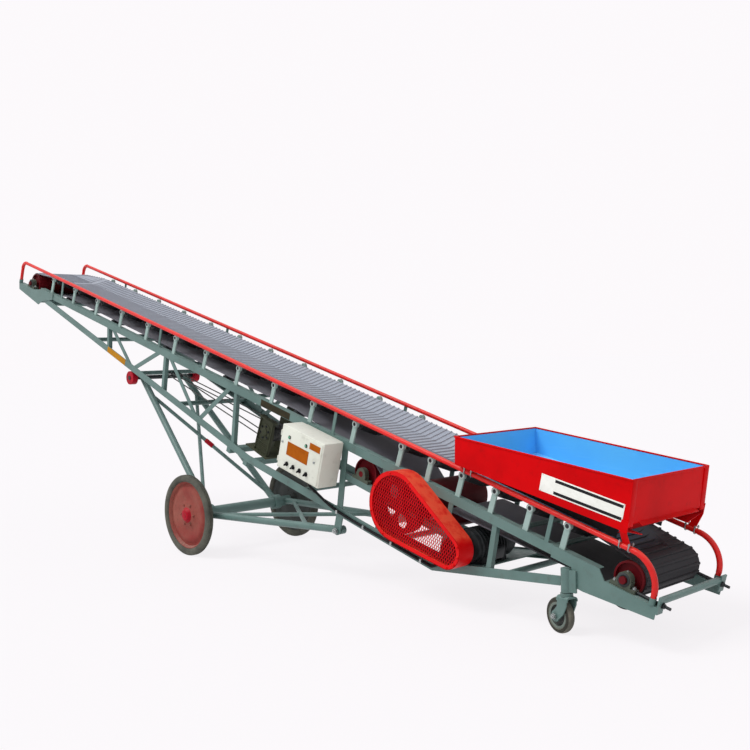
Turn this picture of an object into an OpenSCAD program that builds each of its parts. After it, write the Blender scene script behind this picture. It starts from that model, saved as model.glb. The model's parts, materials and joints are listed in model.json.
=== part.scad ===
// Mobile inclined belt conveyor for loading trucks: a tapered truss boom carries an endless
// troughed belt from a loading hopper at the tail to a head pulley, and stands on a winched
// two-wheel carriage and two tail casters. Millimetres, +X to the tail, +Z up, ground at Z = 0.

/* [Boom] */
// Slope of the boom as it parks, degrees
incline = 16; // [12:0.5:20]
// Distance between the outer faces of the two side trusses
gauge = 752; // [700:1:820]
// Head end of the upper chords, measured along the boom from the first idler
chord_head = -250; // [-320:1:-200]
// Tail end of the upper chords
chord_tail = 7235; // [7200:1:7240]
// Height of the chord angles
chord_h = 63; // [50:1:75]
// Width of the flat leg of the chord angles
chord_w = 50; // [40:1:56]
// Steel thickness of the chord angles
chord_t = 6; // [5:0.5:9]
// Greatest depth of the truss between chord tops
truss_depth = 575; // [520:1:620]
// Width of the truss posts and diagonals
web_w = 40; // [30:1:50]
// Thickness of the truss posts and diagonals
web_t = 8; // [5:1:12]

/* [Idlers] */
// Distance between idlers along the boom
idler_pitch = 500; // [470:1:520]
// Distance between idlers under the hopper
load_pitch = 291; // [270:1:292]
// Place of the first idler under the hopper
load_s = 5500; // [5450:1:5550]
// Height of the belt over the chord tops at its middle
carry_h = 101; // [95:1:112]
// Angle of the wing rollers, degrees
trough_a = 18; // [12:1:22]
// Diameter of the carrying rollers
roller_d = 60; // [50:1:66]
// Diameter of the bent idler shaft
idler_shaft_d = 20; // [16:1:24]
// Diameter of the bearing eye on an idler post
eye_d = 54; // [44:1:60]

/* [Belt] */
// Width of the flat belt
belt_w = 600; // [560:1:620]
// Width of the flat middle of the trough
belt_mid = 230; // [200:1:260]
// Belt thickness
belt_t = 9; // [7:0.5:12]
// Distance between the cross ribs
rib_pitch = 53; // [45:1:70]
// Height of a cross rib
rib_h = 8; // [5:1:12]
// Width of a cross rib
rib_w = 16; // [10:1:22]

/* [Pulleys] */
// Place of the head pulley along the boom
head_s = -516; // [-540:1:-500]
// Place of the tail pulley along the boom
tail_s = 7400; // [7390:1:7410]
// Diameter of the drive drum
drive_d = 290; // [260:1:300]
// Diameter of the bend drum in front of the drive
bend_d = 230; // [200:1:240]
// Diameter of the pulley shafts
shaft_d = 45; // [36:1:52]

/* [Rails] */
// Height of the hand rail axis over the chord tops
rail_h = 191; // [180:1:210]
// Diameter of the hand rail tube
rail_d = 34; // [28:1:38]

/* [Carriage] */
// Main wheel diameter
wheel_d = 695; // [660:1:720]
// Main wheel width
wheel_w = 66; // [60:1:90]
// Distance between the middles of the main wheels
track = 1160; // [1120:1:1200]
// Distance of the axle from the first idler, level
axle_x = 2923; // [2880:1:2960]
// Place of the stay pivot along the boom
pivot_s = 5018; // [5000:1:5040]
// Depth of the stay pivot below the chord tops
pivot_depth = 693; // [680:1:710]
// Place of the lift trolley along the boom
trolley_s = 1828; // [1800:1:1860]
// Diameter of the trolley rollers
trolley_d = 130; // [110:1:140]
// Diameter of the leg tubes
leg_d = 60; // [50:1:64]
// Diameter of the stay tubes
stay_d = 56; // [44:1:60]

/* [Casters] */
// Caster wheel diameter
caster_d = 220; // [200:1:230]
// Caster wheel width
caster_w = 56; // [46:1:60]
// Distance of the caster swivels from the first idler, level
caster_x = 6725; // [6715:1:6735]
// Trail of the caster wheels behind the swivels
caster_trail = 62; // [55:1:75]
// Swivel angle of the parked casters, degrees
caster_turn = -15; // [-25:1:25]

/* [Hopper] */
// Outside width of the hopper at its rim
hopper_w = 866; // [850:1:900]
// Place of the head wall along the boom at the rim
hopper_head_s = 6016; // [6000:1:6030]
// Place of the tail wall along the boom at the rim
hopper_tail_s = 7340; // [7320:1:7350]
// Rim height over the chord tops at the head wall
hopper_head_h = 405; // [390:1:430]
// Rim height over the chord tops at the tail wall
hopper_tail_h = 597; // [580:1:620]
// Sheet thickness of the hopper
hopper_t = 4; // [3:0.5:6]

/* [Control box] */
// Control box width along the boom
box_l = 500; // [460:1:520]
// Control box height
box_h = 345; // [320:1:360]
// Control box depth
box_d = 190; // [170:1:210]

/* [Hidden] */
$fn = 48;

side_y = gauge / 2;
web_y = side_y - chord_t;
idlers = floor(load_s / idler_pitch + 0.5);
post_s = concat([for (i = [0:idlers - 1]) i * idler_pitch], [for (i = [0:5]) load_s + i * load_pitch]);
last_post = post_s[len(post_s) - 1];

// The lower chord runs from the head down to full depth, level with the deck, then up to the tail
low_a = [chord_head + 10, -126.2];
low_b = [3830, -truss_depth];
low_c = [6000, -truss_depth];
low_d = [7005, -219];

// Ground places of the boom, from the caster swivel that carries its tail
swivel_z = 262;
deck_z = swivel_z + 7050 * sin(incline) + 237 * cos(incline);
head_tip = [-770, -128];
head_end = -787;
screw_tip = [7705, -36];
origin_x = -((head_tip[0] + screw_tip[0]) * cos(incline) + (head_tip[1] + screw_tip[1]) * sin(incline)) / 2;

// Ground place of a point at s along the boom and h over the chord tops
function ground(s, h) = [
  origin_x + s * cos(incline) + h * sin(incline),
  deck_z - s * sin(incline) + h * cos(incline)
];
function slope_at(a, b) = atan2(b[1] - a[1], b[0] - a[0]);
function along(a, b, s) = a[1] + (b[1] - a[1]) * (s - a[0]) / (b[0] - a[0]);
function polar(c, r, a) = [c[0] + r * cos(a), c[1] + r * sin(a)];

axle = [origin_x + axle_x, wheel_d / 2];
pivot = ground(pivot_s, -pivot_depth);
low_slope = slope_at(low_a, low_b);
trolley_gap = 7;
trolley_h = along(low_a, low_b, trolley_s) - (trolley_d / 2 + trolley_gap) / cos(low_slope);
trolley = ground(trolley_s, trolley_h);

// Belt wheels of the return run, each [s, h, radius, 1 when the belt runs over it or -1 under it]
return_r = 30;
return_h = 12;
return_s = [250, 1250, 2250, 3250, 4250];
head_r = carry_h + 7;
head_c = [head_s, carry_h - head_r];
tail_r = carry_h;
tail_c = [tail_s, 0];
drive_c = [5672, -217];
bend_c = [5150, -190];
snub_c = [5985, -215];
snub_r = 60;
run = concat(
  [[head_c[0], head_c[1], head_r, -1]],
  [for (s = return_s) [s, return_h - return_r, return_r, 1]],
  [[bend_c[0], bend_c[1], bend_d / 2, 1], [drive_c[0], drive_c[1], drive_d / 2, -1]],
  [[snub_c[0], snub_c[1], snub_r, 1], [tail_c[0], tail_c[1], tail_r, -1]]
);
last = len(run) - 1;
function mid_r(w) = w[2] + belt_t / 2;
function run_dir(i) =
  let (a = run[i], b = run[i + 1], d = norm([b[0] - a[0], b[1] - a[1]]))
  slope_at(a, b) + asin((b[3] * mid_r(b) - a[3] * mid_r(a)) / d);
// First and last angle of the belt on wheel i
function arc_from(i) = i == 0 ? -270 : run_dir(i - 1) + 90 * run[i][3];
function arc_to(i) = i == last ? 90 : run_dir(i) + 90 * run[i][3];
// One face of the return run, just clear of the wheels: face 1 is the upper one and 0 the lower one
function face_r(w, face) = w[2] + 0.3 + belt_t * (w[3] > 0 ? face : 1 - face);
function run_face(face) = [
  for (i = [0:last])
    let (n = i == 0 || i == last ? 16 : 6, step = (arc_to(i) - arc_from(i)) / n)
      for (k = [0:n])
        polar(run[i], face_r(run[i], face) / cos(step / 2), arc_from(i) + step * k)
];
function reversed(p) = [for (i = [len(p) - 1:-1:0]) p[i]];

// Puts children, drawn along the boom from the first idler, on the slope
module on_boom() {
  translate([origin_x, 0, deck_z]) rotate([0, incline, 0]) children();
}

// Stands a flat outline of (s, h) points across the boom from y0 to y1
module across(y0, y1) {
  translate([0, y1, 0]) rotate([90, 0, 0]) linear_extrude(y1 - y0) children();
}

// Makes the near piece and its mirror on the far side
module both_sides() {
  children();
  mirror([0, 1, 0]) children();
}

// Flat bar from a to b in the boom's plane, w wide, between y0 and y1
module flat_bar(a, b, w, y0, y1) {
  across(y0, y1)
    translate(a) rotate(slope_at(a, b)) translate([0, -w / 2]) square([norm(b - a), w]);
}

// Round bar between two points in space
module rod(a, b, d) {
  v = b - a;
  translate(a) rotate([0, acos(v[2] / norm(v)), atan2(v[1], v[0])]) cylinder(d = d, h = norm(v));
}

// Turn at corner i of a path, and how far its bend of radius r[i] reaches along the path
function turn_at(p, i) = slope_at(p[i], p[i + 1]) - slope_at(p[i - 1], p[i]);
function reach_at(p, i, r) = i == 0 || i == len(p) - 1 ? 0 : r[i] * tan(abs(turn_at(p, i)) / 2);

// Round tube along a path of (s, h) points, with an elbow of radius r[i] slipped over each corner
elbow_lap = 6;
module bent_tube(p, y, r, d) {
  translate([0, y, 0]) rotate([90, 0, 0]) {
    for (i = [0:len(p) - 2]) {
      a = slope_at(p[i], p[i + 1]);
      from = reach_at(p, i, r) - (i > 0 ? elbow_lap : 0);
      to = reach_at(p, i + 1, r) - (i < len(p) - 2 ? elbow_lap : 0);
      translate(polar(p[i], from, a)) rotate([0, 0, a]) rotate([0, 90, 0])
        cylinder(d = d, h = norm(p[i + 1] - p[i]) - from - to);
    }
    for (i = [1:len(p) - 2]) {
      a = slope_at(p[i - 1], p[i]);
      t = turn_at(p, i);
      side = t > 0 ? 90 : -90;
      translate(polar(polar(p[i], -reach_at(p, i, r), a), r[i], a + side))
        rotate([0, 0, t > 0 ? a - 90 : a + 90 + t]) rotate_extrude(angle = abs(t))
          translate([r[i], 0]) circle(d = d + 3);
    }
  }
}

// Round disc or shaft across the boom at c between y0 and y1
module disc(c, d, y0, y1) {
  translate([c[0], y1, c[1]]) rotate([90, 0, 0]) cylinder(d = d, h = y1 - y0);
}

// Truss

module upper_chords() {
  color("#6E8A80") on_boom() both_sides() {
    translate([chord_head, -side_y, -chord_h]) cube([chord_tail - chord_head, chord_t, chord_h]);
    translate([chord_head, -side_y, -chord_t]) cube([chord_tail - chord_head, chord_w, chord_t]);
  }
}

// Strip along the lower chord line, h high
module low_strip(h) {
  line = [low_a, low_b, low_c, low_d];
  polygon(concat(line, [for (q = reversed(line)) q + [0, h]]));
}

module lower_chords() {
  color("#6E8A80") on_boom() both_sides() {
    across(-side_y, -web_y) low_strip(chord_h);
    across(-side_y, -side_y + chord_w) low_strip(chord_t);
  }
}

// Square tubes and flat bars lap the inner faces of the chord angles
web_top = -chord_h / 2;
function low_top(s) =
  (s < low_b[0] ? along(low_a, low_b, s) : s < low_c[0] ? low_b[1] : along(low_c, low_d, s)) + 36;
web_tubes = [[1285, 1335], [2375, 2405], [3515, 3580], [6430, 6455]];
web_tube = 38;
web_bars = [[1355, 1800], [2300, 1860], [2445, 2985], [3445, 3045], [5390, 5420], [6045, 6050]];

module truss_webs() {
  color("#6E8A80") on_boom() both_sides() {
    for (p = web_tubes)
      flat_bar([p[0], web_top], [p[1], low_top(p[1])], web_tube, -web_y, -web_y + web_tube);
    for (p = web_bars)
      flat_bar([p[0], web_top], [p[1], low_top(p[1])], web_w, -web_y, -web_y + web_t);
    flat_bar([4945, web_top], [pivot_s - 15, low_top(pivot_s)], 60, -web_y, -web_y + web_t);
  }
}

// Round cross tubes butt against the inner faces of the chord angles
cross_low = [0, 1080, 2700, 4560, 5560, 6600];
cross_high = [700, 1700, 2700, 3700, 6560, 6850];
module cross_members() {
  color("#6E8A80") on_boom() {
    for (s = cross_low) disc([s, low_top(s) - 4], 42, -web_y, web_y);
    for (s = cross_high) disc([s, -40], 34, -web_y, web_y);
    disc([-300, -160], 34, -side_y, side_y);
  }
}

// Ends of the boom

plate_t = 8;
ledge_w = 60;
tail_end = 7642;
head_ledge = head_c[1] - 47;
tail_ledge = tail_c[1] - 57;

// Ledge that stands in from an end plate and carries a bearing block
module ledge(s0, s1, h) {
  translate([s0, -side_y - plate_t, h - plate_t]) cube([s1 - s0, ledge_w, plate_t]);
}

// Socket that holds a foot of the hand rail
module rail_socket(d) {
  difference() {
    cylinder(d = d, h = 42);
    translate([0, 0, -9]) cylinder(d = rail_d + 0.3, h = 60);
  }
}

module head_plates() {
  color("#6E8A80") on_boom() both_sides() {
    across(-side_y - plate_t, -side_y) polygon([[head_end, head_ledge], head_tip, [-262, -190],
      [-195, -140], [60, -62], [60, 0], [-190, 0], [-400, head_ledge]]);
    ledge(head_end, -400, head_ledge);
    translate([rail_path[0][0], -rail_y, head_ledge])
      rotate([0, 90 - slope_at(rail_path[0], rail_path[1]), 0]) rail_socket(42);
  }
}

module tail_plates() {
  color("#6E8A80") on_boom() both_sides() {
    across(-side_y - plate_t, -side_y) polygon([[6900, 0], [7240, 0], [7290, tail_ledge],
      [tail_end, tail_ledge], [tail_end, -131], [7170, -181], [7096, -181], [7058, -74], [6900, -74]]);
    ledge(7290, tail_end, tail_ledge);
    translate([rail_path[3][0], -rail_y, tail_ledge]) rail_socket(40);
    difference() {
      translate([tail_end, -side_y - plate_t, tail_ledge - 40]) cube([12, ledge_w, 104]);
      translate([tail_end - 1, screw_y, screw_h]) rotate([0, 90, 0]) cylinder(d = screw_d + 0.2, h = 14);
    }
  }
}

swivel = [origin_x + caster_x, side_y + 4];
swivel_tube_h = 145;
module caster_posts() {
  color("#6E8A80") both_sides() translate([swivel[0], -swivel[1], swivel_z]) {
    difference() {
      cylinder(d = 70, h = swivel_tube_h);
      translate([0, 0, -1]) cylinder(d = 40, h = swivel_tube_h + 2);
    }
    difference() {
      union() {
        translate([24, -19, 6]) cube([54, 15, 132]);
        translate([-100, 10, 40]) cube([76, 8, 42]);
      }
      translate([0, 0, -1]) cylinder(d = 64, h = swivel_tube_h);
    }
  }
}

// Idlers

eye_y = side_y - 22;
mid_y = belt_mid / 2;
axis_h = carry_h - roller_d / 2;
eye_h = carry_h + (eye_y - mid_y) * tan(trough_a) - roller_d / 2 / cos(trough_a);
fold_y = mid_y + roller_d / 2 * tan(trough_a / 2);

module idler_posts() {
  color("#6E8A80") on_boom() both_sides() for (s = post_s) {
    lengthwise(s - 20, s + 20) polygon([[-side_y + 6, 0], [-side_y + 18, 0],
      [-eye_y + 6, eye_h - 6], [-eye_y - 6, eye_h - 6]]);
    disc([s, eye_h], eye_d, -eye_y - 12, -eye_y + 12);
  }
}

mid_shaft_d = idler_shaft_d + 2;
// Bent shafts that carry the three rollers of each idler between its bearing eyes
module idler_shafts() {
  wing = (eye_y - fold_y) / cos(trough_a);
  color("#3A3D40") on_boom() for (s = post_s) intersection() {
    union() {
      disc([s, axis_h], mid_shaft_d, -fold_y - 4, fold_y + 4);
      both_sides() translate([s, -fold_y, axis_h]) rotate([90 - trough_a, 0, 0])
        cylinder(d = idler_shaft_d, h = wing);
    }
    translate([s - 40, -eye_y + 12, 0]) cube([80, 2 * eye_y - 24, 300]);
  }
}

module roller(length, bore) {
  rotate([90, 0, 0]) difference() {
    cylinder(d = roller_d, h = length, center = true);
    cylinder(d = bore, h = length + 2, center = true);
  }
}

wing_l = 180;
module trough_rollers() {
  color("#3A3D40") on_boom() for (s = post_s) translate([s, 0, 0]) {
    translate([0, 0, axis_h]) roller(belt_mid - 20, mid_shaft_d);
    both_sides() translate([0, -fold_y, axis_h]) rotate([-trough_a, 0, 0])
      translate([0, -wing_l / 2 - 14, 0]) roller(wing_l, idler_shaft_d);
  }
}

module return_rollers() {
  color("#3A3D40") on_boom() for (s = return_s) {
    disc([s, return_h - return_r], return_r * 2, -belt_w / 2 - 6, belt_w / 2 + 6);
    disc([s, return_h - return_r], 16, -web_y, web_y);
  }
}

// Rails

rail_y = side_y + rail_d / 2 - 20;
rail_post_s = [0.5 * idler_pitch, 4.52 * idler_pitch, 9.58 * idler_pitch, last_post - 115];
// Room for the straight of the hand rail in the pieces that carry it or stand on it
module rail_cut() {
  translate([0, -rail_y, rail_h]) rotate([0, 90, 0]) cylinder(d = rail_d + 0.2, h = 7405);
}
module rail_posts() {
  color("#6E8A80") on_boom() both_sides() difference() {
    for (s = rail_post_s) translate([s - 15, -side_y, 0]) cube([30, 8, rail_h - rail_d / 2 + 6]);
    rail_cut();
  }
}

// Hand rail: one bent tube that comes down to a socket on each end plate
rail_path = [[-764, head_ledge + 1.6], [-742, rail_h], [7604, rail_h], [7604, tail_ledge]];
rail_bends = [0, 80, 190, 0];
module hand_rail() {
  color("#E03030") on_boom() bent_tube(rail_path, -rail_y, rail_bends, rail_d);
}

module guard_rail_near() { hand_rail(); }
module guard_rail_far() { mirror([0, 1, 0]) hand_rail(); }

// Belt

// Straight comb of belt and ribs from s0 to s1, standing on the boom's plane
module ribbed(s0, s1, rib0, count, y0, y1) {
  across(y0, y1) polygon(concat(
    [[s1, 0], [s0, 0], [s0, belt_t]],
    [for (i = [0:count - 1]) for (q = [[0, 0], [3, rib_h], [rib_w - 3, rib_h], [rib_w, 0]])
      [rib0 + i * rib_pitch + q[0], belt_t + q[1]]],
    [[s1, belt_t]]
  ));
}

trough_s1 = last_post;
wing_w = (belt_w - belt_mid) / 2;
ribs = floor((trough_s1 - 40) / rib_pitch);
flat_from = 38;
module wing_slice(s, a) {
  translate([s, -mid_y, 0]) rotate([-a, 0, 0]) translate([0, -wing_w, 0])
    cube([1, wing_w - belt_t * tan(a) - 0.1, belt_t]);
}

module belt_carry() {
  color("#86868C") on_boom() translate([0, 0, carry_h]) {
    ribbed(head_s, tail_s, 20, ribs, -mid_y, mid_y);
    both_sides() translate([0, -mid_y, 0]) rotate([-trough_a, 0, 0])
      ribbed(-flat_from, trough_s1 + flat_from, 20, ribs, -wing_w, 2);
  }
}

// Belt edges that flatten out from the trough to each end pulley
module belt_ends() {
  color("#86868C") on_boom() translate([0, 0, carry_h]) both_sides() {
    hull() {
      wing_slice(-flat_from - 1, trough_a);
      wing_slice(head_s, 0);
    }
    hull() {
      wing_slice(trough_s1 + flat_from, trough_a);
      wing_slice(tail_s - 1, 0);
    }
  }
}

module belt_return() {
  color("#77777C") on_boom() across(-belt_w / 2, belt_w / 2)
    polygon(concat(run_face(1), reversed(run_face(0))));
}

// Pulleys and bearings

module pulley(c, r, near_y, far_y) {
  difference() {
    disc(c, 2 * r, -belt_w / 2 - 15, belt_w / 2 + 15);
    both_sides() disc(c, 2 * r - 24, -belt_w / 2 - 16, -belt_w / 2 + 10);
  }
  disc(c, shaft_d, -near_y, far_y);
}

module head_pulley() { color("#5A0A12") on_boom() pulley(head_c, head_r, side_y + 12, side_y + 12); }
module tail_pulley() { color("#5A0A12") on_boom() pulley(tail_c, tail_r, side_y + 12, side_y + 12); }
module drive_drum() { color("#5A0A12") on_boom() pulley(drive_c, drive_d / 2, side_y + 90, web_y - 10); }
module bend_drums() {
  color("#5A0A12") on_boom() {
    pulley(bend_c, bend_d / 2, web_y - 10, web_y - 10);
    disc(snub_c, snub_r * 2, -belt_w / 2 - 6, belt_w / 2 + 6);
    disc(snub_c, shaft_d, -web_y + 10, web_y - 10);
  }
}

// Pillow block around a shaft at c, standing on a plate face at y0
block_r = 46;
module block(c, rise, y0, depth) {
  across(y0 - depth, y0) translate(c) difference() {
    union() {
      circle(r = block_r);
      translate([-85, -rise]) square([170, 22]);
      translate([-50, -rise]) square([100, rise]);
    }
    circle(d = shaft_d);
  }
}

beam_y = web_y - web_t;
beam_w = 40;
beam_rise = 52;
block_y = -side_y + ledge_w - plate_t;
module bearing_blocks() {
  color("#4C5A55") on_boom() both_sides() {
    block(head_c, head_c[1] - head_ledge, block_y, 46);
    block(tail_c, tail_c[1] - tail_ledge, block_y, 46);
    for (c = [bend_c, drive_c, snub_c]) block(c, beam_rise, -beam_y + beam_w, beam_w);
  }
}

screw_h = tail_ledge + 11;
screw_y = block_y - 18;
screw_d = 20;
module take_up_screws() {
  color("#9AA0A0") on_boom() both_sides() {
    translate([tail_s + 85, screw_y, screw_h]) rotate([0, 90, 0])
      cylinder(d = screw_d, h = tail_end + 12 - tail_s - 85);
    translate([tail_end + 11, screw_y, screw_h]) rotate([0, 90, 0])
      cylinder(d = screw_d - 2, h = screw_tip[0] - tail_end - 11);
  }
}

bar_y = side_y + plate_t - ledge_w;
module tow_bar() {
  color("#6E8A80") on_boom() disc([7633, -29], 42, -bar_y, bar_y);
}

// Drive

beam_h = 48;
module drive_beams() {
  color("#6E8A80") on_boom() both_sides() {
    translate([4960, -beam_y, bend_c[1] - beam_rise - beam_h]) cube([470, beam_w, beam_h]);
    translate([5385, -beam_y, drive_c[1] - beam_rise - beam_h]) cube([690, beam_w, beam_h]);
  }
}

// The motor stands on a plate between the rising tail ends of the lower chords
low_rise = slope_at(low_c, low_d);
motor_d = 220;
motor_base_h = 40;
motor_c = polar(polar(low_c, 270, low_rise), motor_base_h + 8 + motor_d / 2 + 14, low_rise + 90);
module on_tail_chord() {
  on_boom() translate([low_c[0], 0, low_c[1]]) rotate([0, -low_rise, 0]) children();
}

module motor_base() {
  color("#6E8A80") on_tail_chord() {
    translate([130, -web_y, motor_base_h]) cube([280, 2 * web_y, 8]);
  }
}

motor_y0 = -300;
motor_l = 330;
module drive_motor() {
  color("#3B3F42") {
    on_boom() {
      disc(motor_c, motor_d, motor_y0, motor_y0 + motor_l);
      disc(motor_c, 38, -side_y - 90, motor_y0);
      for (i = [0:8]) disc(motor_c, motor_d + 22, motor_y0 + 30 + i * 30, motor_y0 + 38 + i * 30);
    }
    on_tail_chord() for (y = [motor_y0 + 43, motor_y0 + motor_l - 93])
      translate([180, y, motor_base_h + 8]) cube([180, 53, 60]);
  }
}

// Grooved sheaves of the belt drive, on the drum shaft and the motor shaft
sheave_r = [200, 78];
sheave_w = 70;
sheave_y = -side_y - 98;
module sheave(c, r, bore, hub, web) {
  groove = [for (i = [0:2]) for (q = [[r, 4], [r - 11, 8], [r - 11, 14], [r, 18]]) [q[0], q[1] + i * 22]];
  translate([c[0], sheave_y, c[1]]) rotate([-90, 0, 0]) difference() {
    rotate_extrude() polygon(concat(
      [[bore / 2, 0], [hub, 0], [hub + 4, web], [r - 28, web], [r - 26, 0], [r, 0]],
      groove,
      [[r, sheave_w], [r - 26, sheave_w], [r - 28, sheave_w - web], [hub + 4, sheave_w - web],
        [hub, sheave_w], [bore / 2, sheave_w]]));
    if (r > 150) for (i = [0:4]) rotate([0, 0, 72 * i]) translate([(hub + r - 28) / 2, 0, -1])
      cylinder(d = 0.82 * (r - 28 - hub), h = sheave_w + 2);
  }
}

module drive_sheaves() {
  color("#5A0A12") on_boom() {
    sheave(drive_c, sheave_r[0], shaft_d + 0.2, 52, 26);
    sheave(motor_c, sheave_r[1], 38.2, 34, 20);
  }
}

module belt_outline(grow) {
  hull() {
    translate(drive_c) circle(r = sheave_r[0] + 0.6 + grow, $fn = 60);
    translate(motor_c) circle(r = sheave_r[1] + 0.6 + grow, $fn = 60);
  }
}

module v_belts() {
  color("#3A3A3C") on_boom() for (i = [0:2])
    across(sheave_y + 4 + i * 22, sheave_y + 18 + i * 22) difference() {
      belt_outline(7);
      belt_outline(0);
    }
}

module guard_outline(grow) {
  hull() {
    translate(drive_c) circle(r = 245 + grow, $fn = 32);
    translate(motor_c) circle(r = 122 + grow, $fn = 32);
  }
}

guard_d = 140;
// Diamond openings of the guard's grille
cell = [84, 50];
cell_bar = 9;
module guard_openings() {
  for (i = [-4:14], j = [-6:5], k = [0, 0.5])
    translate(drive_c + [(i + k) * cell[0], (j + k) * cell[1]])
      polygon([[cell_bar / 2 - cell[0] / 2, 0], [0, cell_bar / 2 - cell[1] / 2],
        [cell[0] / 2 - cell_bar / 2, 0], [0, cell[1] / 2 - cell_bar / 2]]);
}
module belt_guard() {
  color("#D8101A") on_boom() {
    across(-side_y - guard_d, -side_y) difference() {
      guard_outline(0);
      guard_outline(-5);
    }
    across(-side_y - guard_d, -side_y - guard_d + 5) difference() {
      guard_outline(-1);
      guard_outline(-30);
    }
    across(-side_y - guard_d + 5, -side_y - guard_d + 9) difference() {
      guard_outline(-2);
      intersection() {
        guard_outline(-24);
        guard_openings();
      }
    }
  }
}

// Hopper: upright upper walls on a fold that rises to the tail, with sloped sheets below it that
// lead to the belt between rubber skirts

hop_y = hopper_w / 2;
hop_fold = [232, 300];
hop_mouth = 255;
mouth_n = -44;
wall_lean = 45;
fold_a = [hopper_head_s + wall_lean, hop_fold[0]];
fold_b = [hopper_tail_s + wall_lean, hop_fold[1]];
fold_l = norm(fold_b - fold_a);
module lengthwise(s0, s1) {
  translate([s0, 0, 0]) rotate([90, 0, 90]) linear_extrude(s1 - s0) children();
}
// Puts children, drawn along the fold from its head end, on the boom
module on_fold() {
  on_boom() translate([fold_a[0], 0, fold_a[1]]) rotate([0, -slope_at(fold_a, fold_b), 0]) children();
}

module hopper_side() {
  color("#D80C14") {
    on_boom() across(-hop_y, -hop_y + hopper_t) polygon([
      [hopper_head_s, hopper_head_h], [hopper_tail_s, hopper_tail_h], fold_b - [0, 6], fold_a - [0, 6]]);
    on_fold() lengthwise(3, fold_l - 3) polygon([[-hop_y + 1, 0], [-hop_y + 6, 0],
      [-hop_mouth, mouth_n + 4], [-hop_mouth, mouth_n], [-hop_mouth - 8, mouth_n]]);
  }
}

// Keeps the part of the children that lies between the two sides
skirt_t = 6;
module inside_hopper() {
  half = [[-hop_y + hopper_t, 420], [-hop_y + hopper_t, 1], [-hop_mouth + skirt_t + 1, mouth_n + 4],
    [-hop_mouth + skirt_t + 1, -180]];
  intersection() {
    children();
    on_fold() lengthwise(-120, fold_l + 60)
      polygon(concat(half, reversed([for (q = half) [-q[0], q[1]]])));
  }
}

// Leaning wall from its rim at h down to low
function lean_to(s, h, fold, low) = [s + wall_lean * (h - low) / (h - fold), low];
module hopper_wall(s, h, fold, low) {
  foot = lean_to(s, h, fold, low);
  inside_hopper() on_boom() across(-hop_y, hop_y)
    polygon([[s, h], [s + hopper_t, h], foot + [hopper_t, 0], foot]);
}

module hopper_near() { hopper_side(); }
module hopper_far() { mirror([0, 1, 0]) hopper_side(); }
module hopper_head() {
  color("#D80C14") hopper_wall(hopper_head_s, hopper_head_h, hop_fold[0], 200);
}

// The tail wall ends in a lip, and a sloped chute under it leads to the belt
tail_low = 340;
lip_w = 28;
module hopper_tail() {
  s = hopper_tail_s - hopper_t;
  foot = lean_to(s, hopper_tail_h, hop_fold[1], tail_low);
  color("#D80C14") {
    hopper_wall(s, hopper_tail_h, hop_fold[1], tail_low);
    on_boom() flat_bar(foot + [2, 2], foot + [2 + lip_w, -8], 4, -hop_y + 108, hop_y - 108);
    inside_hopper() on_boom() flat_bar(foot + [3, 1], foot + [-150, -138], 4, -hop_y, hop_y);
  }
}

// Pads on the hand rails carry the head end, and bent corner bars the tail end
function under_n(y) = mouth_n * (hop_y - 1 - y) / (hop_y - hop_mouth - 9);
module hopper_legs() {
  color("#D80C14") both_sides() difference() {
    on_fold() {
      lengthwise(65, 105) polygon([[-rail_y - 12, under_n(rail_y + 12)],
        [-rail_y + 12, under_n(rail_y - 12)], [-rail_y + 12, -44], [-rail_y - 12, -44]]);
      lengthwise(fold_l - 48, fold_l) polygon([[-hop_y - 5, 60], [-hop_y, 60], [-hop_y, -8],
        [-rail_y + 9, -96], [-rail_y - 1, -96], [-hop_y - 5, -10]]);
    }
    on_boom() rail_cut();
  }
}

skirt_h = 170;
module hopper_skirts() {
  mouth = [for (q = [fold_a + [20, 0], fold_b - [160, 0]]) [q[0], along(fold_a, fold_b, q[0]) + mouth_n + 3]];
  color("#2A2A2C") on_boom() both_sides() across(-hop_mouth, -hop_mouth + skirt_t)
    polygon([mouth[0], mouth[1], [mouth[1][0], skirt_h], [mouth[0][0], skirt_h]]);
}

// Control box

box_s = 4460;
box_gap = 25;
box_y = -side_y - box_gap;
module control_box() {
  color("#D9DACD") on_boom() translate([box_s, box_y - box_d, -box_h - 8]) {
    cube([box_l, box_d, box_h]);
    translate([40, box_d - 1, box_h - 50]) cube([box_l - 80, box_gap + 1, 40]);
    translate([14, -6, 14]) cube([box_l - 28, 7, box_h - 28]);
  }
}

// Label plates, switch knobs and lamps on the box door, kept as shares of the door
door_y = box_y - box_d - 6;
module on_door(x, z) {
  on_boom() translate([box_s + x * box_l, door_y, -box_h - 8 + z * box_h]) children();
}
module control_labels() {
  color("#B8690F") {
    on_door(0.20, 0.38) translate([0, -3, 0]) cube([0.50 * box_l, 3, 0.30 * box_h]);
    on_door(0.70, 0.76) translate([0, -3, 0]) cube([0.24 * box_l, 3, 0.14 * box_h]);
  }
}
module control_switches() {
  color("#2A2A2C") {
    for (i = [0:3]) on_door(0.25 + i * 0.155, 0.18) rotate([90, 0, 0]) {
      cylinder(d = 34, h = 8);
      cylinder(d = 22, h = 26);
    }
    for (x = [0.22, 0.62]) on_door(x, 0.78) rotate([90, 0, 0]) cylinder(d = 24, h = 12);
    for (q = [[0.07, 0.62], [0.85, 0.52]]) on_door(q[0], q[1]) rotate([90, 0, 0]) cylinder(d = 16, h = 12);
  }
}

// Winch

// The winch stands on two bars under the lower chords
module on_low_chord() {
  on_boom() translate([low_a[0], 0, low_a[1]]) rotate([0, -low_slope, 0]) children();
}
winch_t = 3780;
bar_h = 45;
module winch_frame() {
  color("#6E8A80") on_low_chord() for (t = [0, 250])
    translate([winch_t + t, -side_y + 2, -bar_h]) cube([50, gauge - 4, bar_h]);
}
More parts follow.
